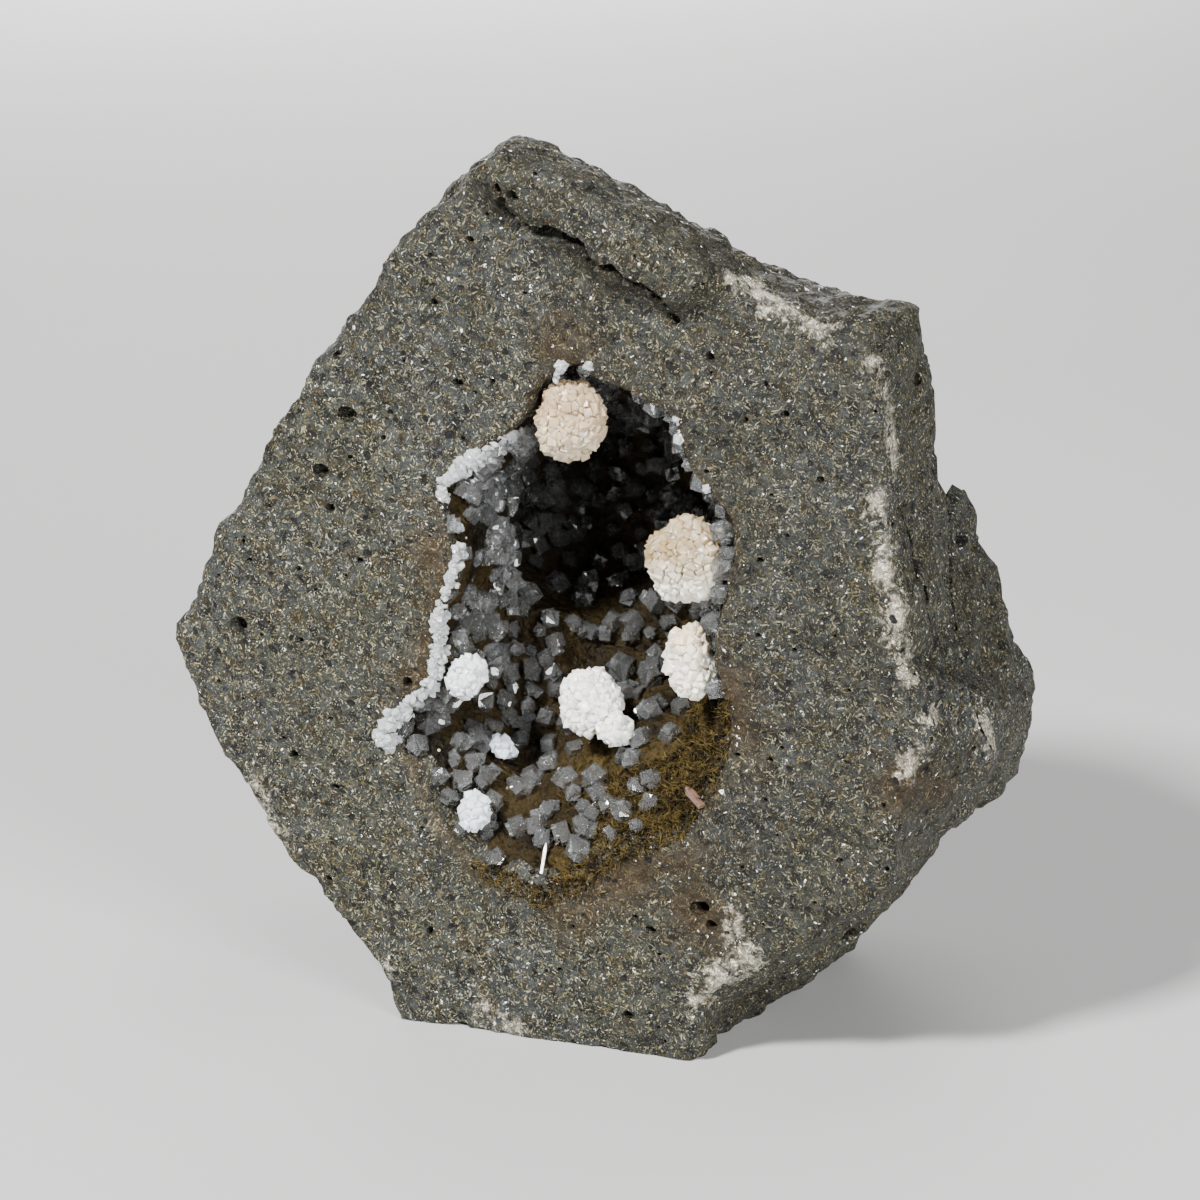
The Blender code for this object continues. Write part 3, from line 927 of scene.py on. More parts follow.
@dataclass(frozen=True)
class PhillipsiteFinish:
    """Cream to white phillipsite with tan clouds.

    Fields:
        name: the material's name.
        white: the main colour.
        tan: the clouds' colour.
        tan_above: height over the base, in metres, from which there are clouds.
        tan_share: how strong they are.
        facets: scale and strength of the faces' unevenness, and how far their edges are rounded.
    """

    name: str
    white: Colour = (0.95, 0.91, 0.84)
    tan: Colour = (0.72, 0.50, 0.28)
    tan_above: float = 1.0
    tan_share: float = 0.0
    facets: tuple[float, float, float] = (2600.0, 0.05, 0.40)

    def build(self) -> bpy.types.Material:
        """Make the material."""
        finish, graph, shader, place = new_finish(self.name)
        cloud = graph.noise(place, 420.0)
        height = graph.add("ShaderNodeSeparateXYZ", Vector=place).outputs["Z"]
        rise = graph.span(height, self.tan_above - 2.2 * MM, self.tan_above + 1.8 * MM)
        tinted = graph.math("MULTIPLY", rise, graph.span(cloud, 0.3, 0.6, 0.75, 1.0))
        share = graph.math("MULTIPLY", tinted, self.tan_share)
        graph.feed(shader["Base Color"], graph.mix(share, self.white, self.tan))
        graph.feed(shader["Roughness"], graph.span(cloud, 0.3, 0.7, 0.12, 0.28))
        shader["Subsurface Weight"].default_value = 0.60
        shader["Subsurface Radius"].default_value = (1.0, 0.8, 0.6)
        shader["Subsurface Scale"].default_value = 0.5 * MM
        shader["IOR"].default_value = 1.5
        grain = graph.use(GRAIN, Vector=place, Scale=2600.0)[0]
        graph.feed(shader["Normal"],
                   graph.bump(grain, 0.08 * MM, 0.3, graph.tilted(place, *self.facets)))
        return finish


class Habit(Enum):
    """Crystal shapes that a druse is set with."""

    CUBE = "single rhombohedra"
    TWIN = "rhombohedra grown through each other"
    STEP = "a rhombohedron with a smaller one on its face"
    CLUMP = "several small rhombohedra in one lump"
    BLADE = "blocky blades with a roof"
    BLOCK = "short blocks with a low roof"
    NEEDLE = "slim fibres"


# Crystals are made about one unit across, with these bevels; a group's crystals are joined first.
BEVELS = {Habit.CUBE: 0.055, Habit.BLADE: 0.03, Habit.BLOCK: 0.05, Habit.NEEDLE: 0.0}
GROUP_BEVEL = 0.035
UPRIGHT = Vector((0.0, 0.0, 1.0))
SEAT = 0.12
CORNER_ANGLE = math.radians(85.2)
CLUMP_CRYSTALS = 4


def add_rhombohedron(work: bmesh.types.BMesh, edge: float, turn: Matrix, middle: Vector) -> None:
    """Add one chabazite rhombohedron, nearly a cube, to a mesh.

    Args:
        work: the mesh that is written.
        edge: edge length.
        turn: its rotation.
        middle: where its middle is.
    """
    spread = math.acos(math.sqrt((1.0 + 2.0 * math.cos(CORNER_ANGLE)) / 3.0))
    axes = []
    for swing in (math.tau * third / 3 for third in range(3)):
        axes.append(Vector((math.sin(spread) * math.cos(swing), math.sin(spread) * math.sin(swing),
                            math.cos(spread))) * edge)
    centre = (axes[0] + axes[1] + axes[2]) / 2
    corners = [work.verts.new(turn @ (axes[0] * i + axes[1] * j + axes[2] * k - centre) + middle)
               for i, j, k in product((0, 1), repeat=3)]
    for ring in ((0, 1, 3, 2), (4, 6, 7, 5), (0, 4, 5, 1), (2, 3, 7, 6), (0, 2, 6, 4), (1, 5, 7, 3)):
        work.faces.new([corners[index] for index in ring])


def join_rings(work: bmesh.types.BMesh, rings: Sequence[Sequence[bmesh.types.BMVert]]) -> None:
    """Close a body from rings of corners: its sides, its first end and its last end."""
    for low, high in zip(rings, rings[1:]):
        for index in range(len(low)):
            after = (index + 1) % len(low)
            work.faces.new((low[index], low[after], high[after], high[index]))
    work.faces.new(rings[0])
    work.faces.new(tuple(reversed(rings[-1])))
    bmesh.ops.recalc_face_normals(work, faces=work.faces)


def add_blade(work: bmesh.types.BMesh, width: float, depth: float, length: float) -> None:
    """Add one blocky blade with a four-sided roof, standing on the origin along +Z.

    Args:
        work: the mesh that is written.
        width: its width.
        depth: its depth.
        length: its length to the tip.
    """
    rings = []
    for height, share in ((-0.25, 0.8), (0.66, 1.0), (0.93, 0.35)):
        rings.append([work.verts.new((x * width * share, y * depth * share, height * length))
                      for x, y in ((-0.5, -0.5), (0.5, -0.5), (0.5, 0.5), (-0.5, 0.5))])
    join_rings(work, rings)


def add_block(work: bmesh.types.BMesh, width: float, depth: float, length: float,
              draw: random.Random) -> None:
    """Add one short block with an uneven low roof, sunk half its length below the origin.

    Args:
        work: the mesh that is written.
        width: its width.
        depth: its depth.
        length: its length.
        draw: the random draws of its roof.
    """
    for corner in bmesh.ops.create_cube(work, size=1.0)["verts"]:
        roof = 0.0 if corner.co.z < 0.0 else draw.uniform(-0.16, 0.16)
        taper = 0.82 if corner.co.z < 0.0 else 0.94
        corner.co = (corner.co.x * width * taper, corner.co.y * depth * taper,
                     corner.co.z * length + roof)


def add_needle(work: bmesh.types.BMesh, thick: float) -> None:
    """Add one three-sided fibre of a given thickness that stands on the origin."""
    spike = bmesh.ops.create_cone(work, cap_ends=True, segments=3, radius1=thick, radius2=thick * 0.3,
                                  depth=1.0)
    bmesh.ops.translate(work, verts=spike["verts"], vec=(0.0, 0.0, 0.4))


def random_turn(draw: random.Random) -> Matrix:
    """Any rotation at all."""
    return Euler([draw.uniform(0.0, math.tau) for _axis in range(3)]).to_matrix()


def crystal_mesh(habit: Habit, variant: int) -> bpy.types.Mesh:
    """One prototype crystal about one unit across.

    Args:
        habit: the crystal's shape.
        variant: which of its forms.

    Returns:
        The mesh.
    """
    draw = random.Random(variant * 17 + len(habit.name))
    turn = random_turn(draw)
    if habit not in BEVELS:
        return joined_crystals(habit.name.lower(), group_of(habit, turn, draw))
    work = bmesh.new()
    if habit is Habit.NEEDLE:
        add_needle(work, draw.uniform(0.07, 0.13))
    elif habit is Habit.BLADE:
        add_blade(work, draw.uniform(0.42, 0.6), draw.uniform(0.34, 0.5), 1.0)
    elif habit is Habit.BLOCK:
        add_block(work, draw.uniform(0.8, 1.0), draw.uniform(0.6, 0.9), 0.9, draw)
    else:
        add_rhombohedron(work, draw.uniform(0.66, 0.76), turn, UPRIGHT * SEAT)
    bmesh.ops.recalc_face_normals(work, faces=work.faces)
    if BEVELS[habit]:
        bmesh.ops.bevel(work, geom=work.edges, offset=BEVELS[habit], segments=1, affect="EDGES")
        bmesh.ops.recalc_face_normals(work, faces=work.faces)
    mesh = mesh_of(work, habit.name.lower())
    mesh.shade_smooth()
    return mesh


def group_of(habit: Habit, turn: Matrix, draw: random.Random) -> list[tuple[float, Matrix, Vector]]:
    """The crystals of a group that has grown together.

    Args:
        habit: TWIN, STEP or CLUMP.
        turn: how the first crystal lies.
        draw: the random draws.

    Returns:
        Edge length, turn and middle of each.
    """
    if habit is Habit.TWIN:
        flip = Matrix.Rotation(math.pi, 3, turn @ UPRIGHT)
        return [(0.72, turn, UPRIGHT * SEAT), (0.70, flip @ turn, Vector((0.03, -0.02, 0.13)))]
    if habit is Habit.STEP:
        return [(0.68, turn, UPRIGHT * SEAT),
                (0.46, turn, turn @ Vector((0.30, 0.12, 0.17)) + UPRIGHT * 0.2)]
    group = []
    for _crystal in range(CLUMP_CRYSTALS):
        shift = Vector([draw.uniform(-0.24, 0.24) for _axis in range(3)])
        lie = random_turn(draw)
        group.append((draw.uniform(0.46, 0.60), lie, shift + UPRIGHT * 0.1))
    return group


def joined_crystals(name: str, group: Sequence[tuple[float, Matrix, Vector]]) -> bpy.types.Mesh:
    """Rhombohedra that have grown through each other, as one skin without inner faces.

    Args:
        name: the mesh's name.
        group: edge length, turn and middle of each.

    Returns:
        The mesh.
    """
    crystals = []
    for edge, lie, middle in group:
        work = bmesh.new()
        add_rhombohedron(work, edge, lie, middle)
        bmesh.ops.recalc_face_normals(work, faces=work.faces)
        crystals.append(link(name, mesh_of(work, name)))
    whole = crystals[0]
    for crystal in crystals[1:]:
        combine(whole, crystal, "UNION")
    edges = whole.modifiers.new("edges", "BEVEL")
    edges.width = GROUP_BEVEL
    edges.segments = 1
    edges.limit_method = "ANGLE"
    mesh = settle(whole).data
    mesh.shade_smooth()
    bpy.data.objects.remove(whole)
    return mesh


def combine(whole: bpy.types.Object, tool: bpy.types.Object, operation: str) -> None:
    """Join a closed body to another or cut it out of it.

    Args:
        whole: the body that stays.
        tool: the other body, which is used up.
        operation: the Boolean modifier's operation.
    """
    step = whole.modifiers.new(operation.lower(), "BOOLEAN")
    step.operation = operation
    step.solver = "MANIFOLD"
    step.object = tool
    settle(whole)
    bpy.data.objects.remove(tool)


@dataclass(frozen=True)
class Growth:
    """How the crystals of a druse are drawn.

    Fields:
        habits: the shapes that are mixed.
        forms: how many forms of each shape.
        spread: smallest and largest share of the given size.
        lean: largest lean from the normal in radians.
        seed: of the random draws.
    """

    habits: tuple[Habit, ...]
    forms: int
    spread: tuple[float, float]
    lean: float
    seed: int


Foot = tuple[Vector, Vector, float]


class CrystalSetter:
    """Sets crystals on given points with a Geometry Nodes tree and gives back one plain mesh."""

    SOCKETS = (("Feet", "INPUT", "Geometry"), ("Crystals", "INPUT", "Collection"),
               ("Smallest", "INPUT", "Float"), ("Largest", "INPUT", "Float"), ("Lean", "INPUT", "Float"),
               ("Seed", "INPUT", "Int"), ("Finish", "INPUT", "Material"), ("Druse", "OUTPUT", "Geometry"))

    def __init__(self) -> None:
        """Build the tree once."""
        self.tree = bpy.data.node_groups.new("crystal setter", "GeometryNodeTree")
        self.keys = {}
        for name, way, kind in self.SOCKETS:
            socket = self.tree.interface.new_socket(name, in_out=way, socket_type="NodeSocket" + kind)
            self.keys[name] = socket.identifier
        graph = Graph(self.tree)
        given = graph.add("NodeGroupInput").outputs
        stock = graph.add("GeometryNodeCollectionInfo", transform_space="RELATIVE",
                          Collection=given["Crystals"], Separate_Children=True, Reset_Children=True)
        lie = graph.add("GeometryNodeInputNamedAttribute", data_type="FLOAT_VECTOR", Name="lie")
        size = graph.add("GeometryNodeInputNamedAttribute", data_type="FLOAT", Name="size")
        upright = graph.add("FunctionNodeAlignRotationToVector", axis="Z",
                            Vector=lie.outputs["Attribute"])
        leaned = graph.add("FunctionNodeRotateRotation", rotation_space="LOCAL")
        graph.feed(leaned.inputs[0], upright.outputs[0])
        graph.feed(leaned.inputs[1], self.random_lean(graph, given))
        grow = graph.add("FunctionNodeRandomValue", data_type="FLOAT")
        graph.feed(grow.inputs[2], given["Smallest"])
        graph.feed(grow.inputs[3], given["Largest"])
        graph.feed(grow.inputs["Seed"], graph.math("ADD", given["Seed"], 7.0))
        scale = graph.math("MULTIPLY", grow.outputs[1], size.outputs["Attribute"])
        put = graph.add("GeometryNodeInstanceOnPoints", Points=given["Feet"], Pick_Instance=True,
                        Instance=stock.outputs[0], Rotation=leaned.outputs[0], Scale=scale)
        real = graph.add("GeometryNodeRealizeInstances", Geometry=put.outputs[0])
        dressed = graph.add("GeometryNodeSetMaterial", Geometry=real.outputs[0],
                            Material=given["Finish"])
        graph.add("NodeGroupOutput", Druse=dressed.outputs[0])

    @staticmethod
    def random_lean(graph: Graph, given: bpy.types.NodeOutputs) -> bpy.types.NodeSocket:
        """A random lean about X and Y, and any turn about Z.

        Args:
            graph: the tree's graph.
            given: the tree's inputs.

        Returns:
            A rotation.
        """
        back = graph.math("MULTIPLY", given["Lean"], -1.0)
        turn = graph.add("FunctionNodeRandomValue", data_type="FLOAT_VECTOR")
        graph.feed(turn.inputs[0], graph.add("ShaderNodeCombineXYZ", X=back, Y=back, Z=0.0).outputs[0])
        graph.feed(turn.inputs[1], graph.add("ShaderNodeCombineXYZ", X=given["Lean"], Y=given["Lean"],
                                             Z=math.tau).outputs[0])
        graph.feed(turn.inputs["Seed"], given["Seed"])
        return graph.add("FunctionNodeEulerToRotation", Euler=turn.outputs[0]).outputs[0]

    def set(self, name: str, feet: Sequence[Foot], growth: Growth,
            finish: bpy.types.Material) -> bpy.types.Object:
        """Stand a crystal on every foot.

        Args:
            name: the druse's name.
            feet: place, normal and size in metres of each crystal.
            growth: how the crystals are drawn.
            finish: the crystals' material.

        Returns:
            The druse as an object with a plain mesh.
        """
        stock = bpy.data.collections.new(name + " stock")
        for habit, form in product(growth.habits, range(growth.forms)):
            stock.objects.link(bpy.data.objects.new("crystal", crystal_mesh(habit, form)))
        places, lies, sizes = zip(*feet)
        points = bpy.data.meshes.new(name)
        points.from_pydata(places, [], [])
        lie = points.attributes.new("lie", "FLOAT_VECTOR", "POINT")
        lie.data.foreach_set("vector", [part for way in lies for part in way])
        set_mask(points, "size", sizes)
        druse = link(name, points)
        step = druse.modifiers.new("crystals", "NODES")
        step.node_group = self.tree
        values = {"Crystals": stock, "Smallest": growth.spread[0], "Largest": growth.spread[1],
                  "Lean": growth.lean, "Seed": growth.seed, "Finish": finish}
        for key, value in values.items():
            step[self.keys[key]] = value
        settle(druse)
        for crystal in list(stock.objects):
            bpy.data.objects.remove(crystal)
        bpy.data.collections.remove(stock)
        return druse


SETTER = CrystalSetter()


def finished(piece: bpy.types.Object, slot: str, *nodes: str) -> None:
    """Attach a piece to the body that it rides on and hide the CAD nodes that it stands for.

    Args:
        piece: the finished piece.
        slot: the record's material slot; not used.
        nodes: CAD nodes that it replaces.
    """
    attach(piece, BODY)
    if nodes:
        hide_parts(*nodes)
    log.info("%s: %d faces", piece.name, len(piece.data.polygons))


@dataclass
class BasaltBlock:
    """The broken block: its skin, gas pits, cracks and the masks that its finish reads."""

    rim: Sequence[Vector]
    voxel: float = 0.66 * MM
    relax_rounds: int = 1
    relax_pull: float = 0.5
    front_limit: float = 0.55
    front_y: float = -17.5 * MM
    rim_stain: float = 1.5 * MM
    rim_share: float = 0.6
    groove_shade: float = 2.6 * MM
    stain_reach: float = 4.5 * MM
    small_pits: int = 240
    seed: int = 4

    # Waves of the skin: size in millimetres, shift, and height on the flat front and elsewhere
    WAVES = ((8.0, (0.0, 0.0, 0.0), 0.22, 0.25), (3.1, (5.0, 0.0, 0.0), 0.16, 0.55),
             (1.15, (0.0, 9.0, 0.0), 0.12, 0.34), (0.55, (0.0, 0.0, 4.0), 0.07, 0.12))
    # Gas pits: where they are seen, and their radii in millimetres
    GAS_PITS = (
        (347, 415, 0.95), (238, 625, 1.05), (320, 470, 0.65), (458, 383, 0.5), (336, 355, 0.5),
        (434, 303, 0.42), (407, 682, 0.55), (330, 508, 0.45), (294, 755, 0.5), (335, 787, 0.4),
        (710, 358, 0.5), (785, 414, 0.42), (674, 318, 0.65), (700, 908, 0.85), (712, 925, 0.6),
        (650, 930, 0.5), (628, 1015, 0.45), (328, 880, 0.5), (804, 301, 0.9), (848, 934, 0.8),
        (1001, 645, 0.6), (961, 540, 0.7), (917, 380, 0.6), (512, 196, 0.6), (590, 262, 0.55),
        (655, 300, 0.6), (760, 560, 0.35), (820, 480, 0.35), (300, 640, 0.3), (360, 560, 0.32),
        (770, 760, 0.35), (560, 970, 0.35), (430, 930, 0.4), (470, 240, 0.45), (250, 560, 0.3),
    )
    CRACKS = (
        ((893, 488), (900, 508), (910, 536), (913, 558), (918, 579), (924, 586), (930, 620), (936, 655)),
        ((945, 492), (949, 516), (947, 538), (949, 558), (951, 590), (955, 624), (953, 650)),
        ((966, 681), (980, 723), (995, 757)),
    )
    GROOVE = ((490, 186), (502, 206), (523, 223), (542, 232), (568, 237), (581, 247), (594, 266),
              (618, 278), (645, 289), (659, 301), (676, 313))
    # The notch's outline, and how far from the eye its cut starts and ends
    NOTCH = ((934, 380), (1010, 380), (1010, 484), (974, 484), (962, 490), (952, 484), (946, 494),
             (938, 480))
    NOTCH_REACH = (0.40, 0.52)
    # Crushed edges: how far they reach in millimetres, and their lines
    BRUISES = (
        (3.4, ((738, 278), (766, 296), (790, 316), (826, 334))),
        (2.2, ((873, 364), (878, 374), (884, 392), (890, 404))),
        (3.2, ((888, 412), (892, 440), (894, 465))),
        (2.6, ((872, 500), (881, 544), (886, 590))),
        (3.2, ((893, 600), (900, 640), (908, 680))),
        (3.0, ((932, 712), (926, 748), (906, 778))),
        (4.6, ((702, 996), (716, 980), (738, 966), (750, 960))),
        (3.2, ((256, 790), (266, 810), (282, 846))),
        (3.2, ((486, 1016), (500, 1024), (520, 1032))),
        (2.2, ((389, 966), (391, 976))),
        (2.4, ((725, 905), (735, 940))),
        (2.2, ((985, 715), (995, 757))),
    )
    STAINS = (
        ((575, 352), (556, 340)), ((440, 640), (420, 700)), ((430, 560), (436, 600)),
        ((898, 788), (940, 790)), ((690, 905), (715, 925)), ((600, 880), (690, 850)),
        ((730, 690), (735, 760)), ((640, 880), (560, 915)),
    )

    def build(self, finish: bpy.types.Material) -> bpy.types.Object:
        """Make the block.

        Args:
            finish: the basalt.

        Returns:
            The finished piece.
        """
        block = link("basalt_block", merged_copy("basalt_matrix"))
        step = block.modifiers.new("skin", "REMESH")
        step.mode = "VOXEL"
        step.voxel_size = self.voxel
        settle(block)
        relax(block.data, self.relax_rounds, self.relax_pull)
        self.refine_front(block.data)
        displace(block.data, self.broken_surface)
        self.hold_base(block.data)
        self.cut(block)
        block.data.materials.clear()
        block.data.materials.append(finish)
        self.mark(block.data)
        finished(block, "basalt", "basalt_matrix")
        return block

    def refine_front(self, mesh: bpy.types.Mesh) -> None:
        """Split the faces of the flat front once, because it is seen from close by."""
        work = bmesh.new()
        work.from_mesh(mesh)
        edges = set()
        for face in work.faces:
            middle = face.calc_center_median()
            if face.normal.y < -self.front_limit and middle.y < self.front_y:
                edges.update(face.edges)
        bmesh.ops.subdivide_edges(work, edges=list(edges), cuts=1, use_grid_fill=True)
        bmesh.ops.triangulate(work, faces=work.faces)
        work.to_mesh(mesh)
        work.free()

    def broken_surface(self, place: Vector, normal: Vector) -> float:
        """Height of the broken surface, smoother on the front than elsewhere.

        Args:
            place: in millimetres.
            normal: the skin's normal.

        Returns:
            The height in millimetres.
        """
        front = smooth_step(0.5, 0.9, -normal.y)
        plain = rough = 0.0
        for size, shift, plain_share, rough_share in self.WAVES:
            wave = noise.noise(place / size + Vector(shift))
            plain += wave * plain_share
            rough += wave * rough_share
        return plain * front + rough * (1.0 - front)

    @staticmethod
    def hold_base(mesh: bpy.types.Mesh) -> None:
        """Keep the underside flat where the block rests."""
        corners = corners_of(mesh)
        corners[:, 2] = np.maximum(corners[:, 2], 0.0)
        set_corners(mesh, corners)

    def notch(self) -> bmesh.types.BMesh:
        """The wedge of air above the layered right side, along the lines of sight."""
        work = bmesh.new()
        join_rings(work, [[work.verts.new(Vector(VIEW.eye) + VIEW.sight(pixel) * reach)
                           for pixel in self.NOTCH] for reach in self.NOTCH_REACH])
        return work

    def cut(self, block: bpy.types.Object) -> None:
        """Cut the gas pits, the cracks, the notch and the groove under the upper slab."""
        skin = Surface(block.data)
        work = bmesh.new()
        draw = random.Random(self.seed)
        for column, row, radius in self.GAS_PITS:
            hit = skin.seen((column, row))
            if hit is not None:
                self.add_pit(work, hit, radius * MM, draw, 2)
        for _pit in range(self.small_pits):
            hit = self.random_front(skin, draw)
            if hit is not None:
                self.add_pit(work, hit, draw.uniform(0.14, 0.34) * MM, draw, 1)
        self.subtract(block, work)
        self.subtract(block, self.notch())
        for line in self.CRACKS:
            self.subtract(block, self.crack(traced(skin, line, 6.0), 0.16 * MM, 1.3 * MM))
        self.subtract(block, self.crack(traced(skin, self.GROOVE[:7], 8.0), 0.95 * MM, 2.4 * MM))
        self.subtract(block, self.crack(traced(skin, self.GROOVE[4:], 8.0), 0.50 * MM, 1.7 * MM))

    @staticmethod
    def subtract(block: bpy.types.Object, work: bmesh.types.BMesh) -> None:
        """Cut a closed shape, which is used up, out of the block."""
        combine(block, link("cutter", mesh_of(work, "cutter")), "DIFFERENCE")

    @staticmethod
    def random_front(skin: Surface, draw: random.Random) -> tuple[Vector, Vector] | None:
        """A point anywhere on the side of the block that the photograph shows."""
        hit = skin.seen((draw.uniform(190, 1030), draw.uniform(140, 1050)))
        if hit is None or hit[0].y > -17.0 * MM and hit[0].x < 16.0 * MM:
            return None
        return hit

    @staticmethod
    def add_pit(work: bmesh.types.BMesh, hit: tuple[Vector, Vector], radius: float,
                draw: random.Random, fineness: int) -> None:
        """Add one uneven bubble to the cutter.

        Args:
            work: the cutter.
            hit: the pit's place and the skin's normal.
            radius: its radius.
            draw: the random draws.
            fineness: how finely it is split.
        """
        place, normal = hit
        sink = place - normal * radius * draw.uniform(0.1, 0.4)
        turn = normal.to_track_quat("Z", "Y").to_matrix().to_4x4()
        shape = Matrix.Diagonal((draw.uniform(0.9, 1.3), draw.uniform(0.75, 1.1), 1.7, 1.0))
        made = bmesh.ops.create_icosphere(work, subdivisions=fineness, radius=radius,
                                          matrix=Matrix.Translation(sink) @ turn @ shape)
        for corner in made["verts"]:
            wobble = noise.noise(corner.co / (radius * 1.3))
            corner.co = sink + (corner.co - sink) * (1.0 + 0.35 * wobble)

    @staticmethod
    def crack(spots: Sequence[tuple[Vector, Vector]], half: float, depth: float) -> bmesh.types.BMesh:
        """A wedge along a line on the skin, widest in the middle of its run.

        Args:
            spots: points and normals along the line.
            half: half its width at the skin.
            depth: how deep it cuts.

        Returns:
            The closed wedge.
        """
        work = bmesh.new()
        rings = []
        for index, (place, normal) in enumerate(spots):
            near = spots[max(0, index - 1)][0]
            far = spots[min(len(spots) - 1, index + 1)][0]
            side = normal.cross(far - near).normalized()
            swell = 0.35 + 0.65 * math.sin(math.pi * (index + 0.5) / len(spots))
            wander = noise.noise(place / (2.0 * MM)) * half * 1.5
            middle = place + side * wander
            wide = side * half * swell
            rings.append([work.verts.new(point) for point in (
                middle + normal * depth * 0.5 + wide * 1.5, middle + normal * depth * 0.5 - wide * 1.5,
                middle - normal * depth * swell - wide * 0.2, middle - normal * depth * swell + wide * 0.2,
            )])
        join_rings(work, rings)
        return work

    @staticmethod
    def weathering_and_shade(place: Sequence[float], normal: Sequence[float]) -> float:
        """How much a place is darkened: faces turned up or away from the front most, then painted shade
        towards the right and the upper front.

        Args:
            place: in millimetres.
            normal: the skin's normal.

        Returns:
            A share of the full darkening.
        """
        edge = 0.15 * smooth_step(0.85, 0.35, -normal[1]) + 0.62 * smooth_step(0.35, 0.75, normal[2])
        front = smooth_step(0.45, 0.8, -normal[1])
        # Painted shade: the front darkens towards the right and towards its top.
        right = 0.52 * smooth_step(0.0, 16.0, place[0])
        upper = 0.42 * smooth_step(52.0, 70.0, place[2])
        return max(edge, front * max(right, upper))

    def mark(self, mesh: bpy.types.Mesh) -> None:
        """Store the darkening mask (with painted shade, and a painted shadow along the groove), the bruise
        mask and the stain mask on the block.
        """
        skin = Surface(mesh)
        corners = corners_of(mesh)
        weather = [self.weathering_and_shade(corner / MM, normal)
                   for corner, normal in zip(corners, normals_of(mesh))]
        # Painted shadow along the groove under the upper slab.
        shaded = nearness(corners, places_on(skin, self.GROOVE), self.groove_shade)
        set_mask(mesh, "weather", np.maximum(weather, shaded))
        bruise = np.zeros(len(corners))
        for reach, line in self.BRUISES:
            bruise = np.maximum(bruise, nearness(corners, places_on(skin, line), reach * MM))
        set_mask(mesh, "bruise", bruise)
        stained = [place for line in self.STAINS for place in places_on(skin, line)]
        at_rim = np.array(nearness(corners, self.rim, self.rim_stain)) * self.rim_share
        set_mask(mesh, "stain", np.maximum(nearness(corners, stained, self.stain_reach), at_rim))


@dataclass
class VugLining:
    """The brown skin of the hollow, lifted off the rock's wall and fading into its rim."""

    wall_reach: float = 0.8 * MM
    lift: float = 0.55 * MM
    tuck: float = 0.95 * MM
    blend: float = 2.6 * MM
    recess: float = 0.7 * MM
    wall: float = 0.35 * MM
    gold_reach: float = 6.0 * MM
    rim: list[Vector] = field(init=False)
    face: bpy.types.Mesh = field(init=False)

    GOLD = ((600, 760), (640, 800), (680, 760), (700, 720), (660, 830), (620, 850), (715, 690),
            (570, 880), (545, 895))

    def build(self, finish: bpy.types.Material) -> bpy.types.Object:
        """Make the lining.

        Args:
            finish: the lining's material.

        Returns:
            The finished piece.
        """
        lining = link("vug_lining", self.wall_mesh())
        step = lining.modifiers.new("finer", "SUBSURF")
        step.levels = step.render_levels = 3
        settle(lining)
        mesh = lining.data
        self.grow(mesh)
        skin = Surface(mesh)
        corners = corners_of(mesh)
        golden = [hit[0] for hit in map(skin.seen, self.GOLD) if hit is not None]
        set_mask(mesh, "gold", nearness(corners, golden, self.gold_reach))
        # Painted shade deep in the upper room.
        mark_room_shade(mesh, skin)
        mesh.materials.clear()
        mesh.materials.append(finish)
        self.face = mesh.copy()
        shell = lining.modifiers.new("shell", "SOLIDIFY")
        shell.thickness = self.wall
        shell.offset = -1.0
        settle(lining)
        finished(lining, "chabazite")
        return lining

    def wall_mesh(self) -> bpy.types.Mesh:
        """The faces of the basalt that the crust's back lies on."""
        crust = Surface(merged_copy("zeolite_crust"))
        work = bmesh.new()
        work.from_mesh(merged_copy("basalt_matrix"))
        bmesh.ops.recalc_face_normals(work, faces=work.faces)
        away = [face for face in work.faces
                if crust.gap(face.calc_center_median()) > self.wall_reach]
        bmesh.ops.delete(work, geom=away, context="FACES")
        return mesh_of(work, "vug_wall")

    def grow(self, mesh: bpy.types.Mesh) -> None:
        """Lift the skin off the wall, tuck its rim in and give it lumps."""
        work = bmesh.new()
        work.from_mesh(mesh)
        self.rim = [corner.co.copy() for corner in work.verts if corner.is_boundary]
        work.free()
        near_rim = nearness(corners_of(mesh), self.rim, self.blend)
        shares = iter(near_rim)

        def height(place: Vector, normal: Vector) -> float:
            """Height of the lining over the wall in millimetres."""
            inner = 1.0 - next(shares)
            lump = noise.noise(place / 2.6) * 0.42
            bead = (0.5 - noise.voronoi(place / 0.95)[0][0]) * 0.40
            return (self.lift * inner - self.tuck * (1.0 - inner)) / MM + (lump + bead) * inner

        displace(mesh, height)
        corners = corners_of(mesh)
        corners[:, 1] += np.array(near_rim) * self.recess
        set_corners(mesh, corners)


NEIGHBOURS = tuple((i, j, k) for i in (-1, 0, 1) for j in (-1, 0, 1) for k in (-1, 0, 1))


def ball_sizes() -> list[tuple[Vector, float]]:
    """Middle and mean radius of every phillipsite ball, from the solids."""
    found = []
    for node in BALL_FINISHES:
        low, high = (Vector(corner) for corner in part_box(node))
        found.append(((low + high) / 2, sum(high - low) / 6))
    return found


def inside_outline(pixel: Pixel, outline: Sequence[Pixel]) -> bool:
    """Whether a pixel lies inside an outline in the photograph."""
    inside = False
    for (x0, y0), (x1, y1) in zip(outline, (*outline[1:], outline[0])):
        if (y0 > pixel[1]) != (y1 > pixel[1]) and pixel[0] < x0 + (x1 - x0) * (pixel[1] - y0) / (y1 - y0):
            inside = not inside
    return inside


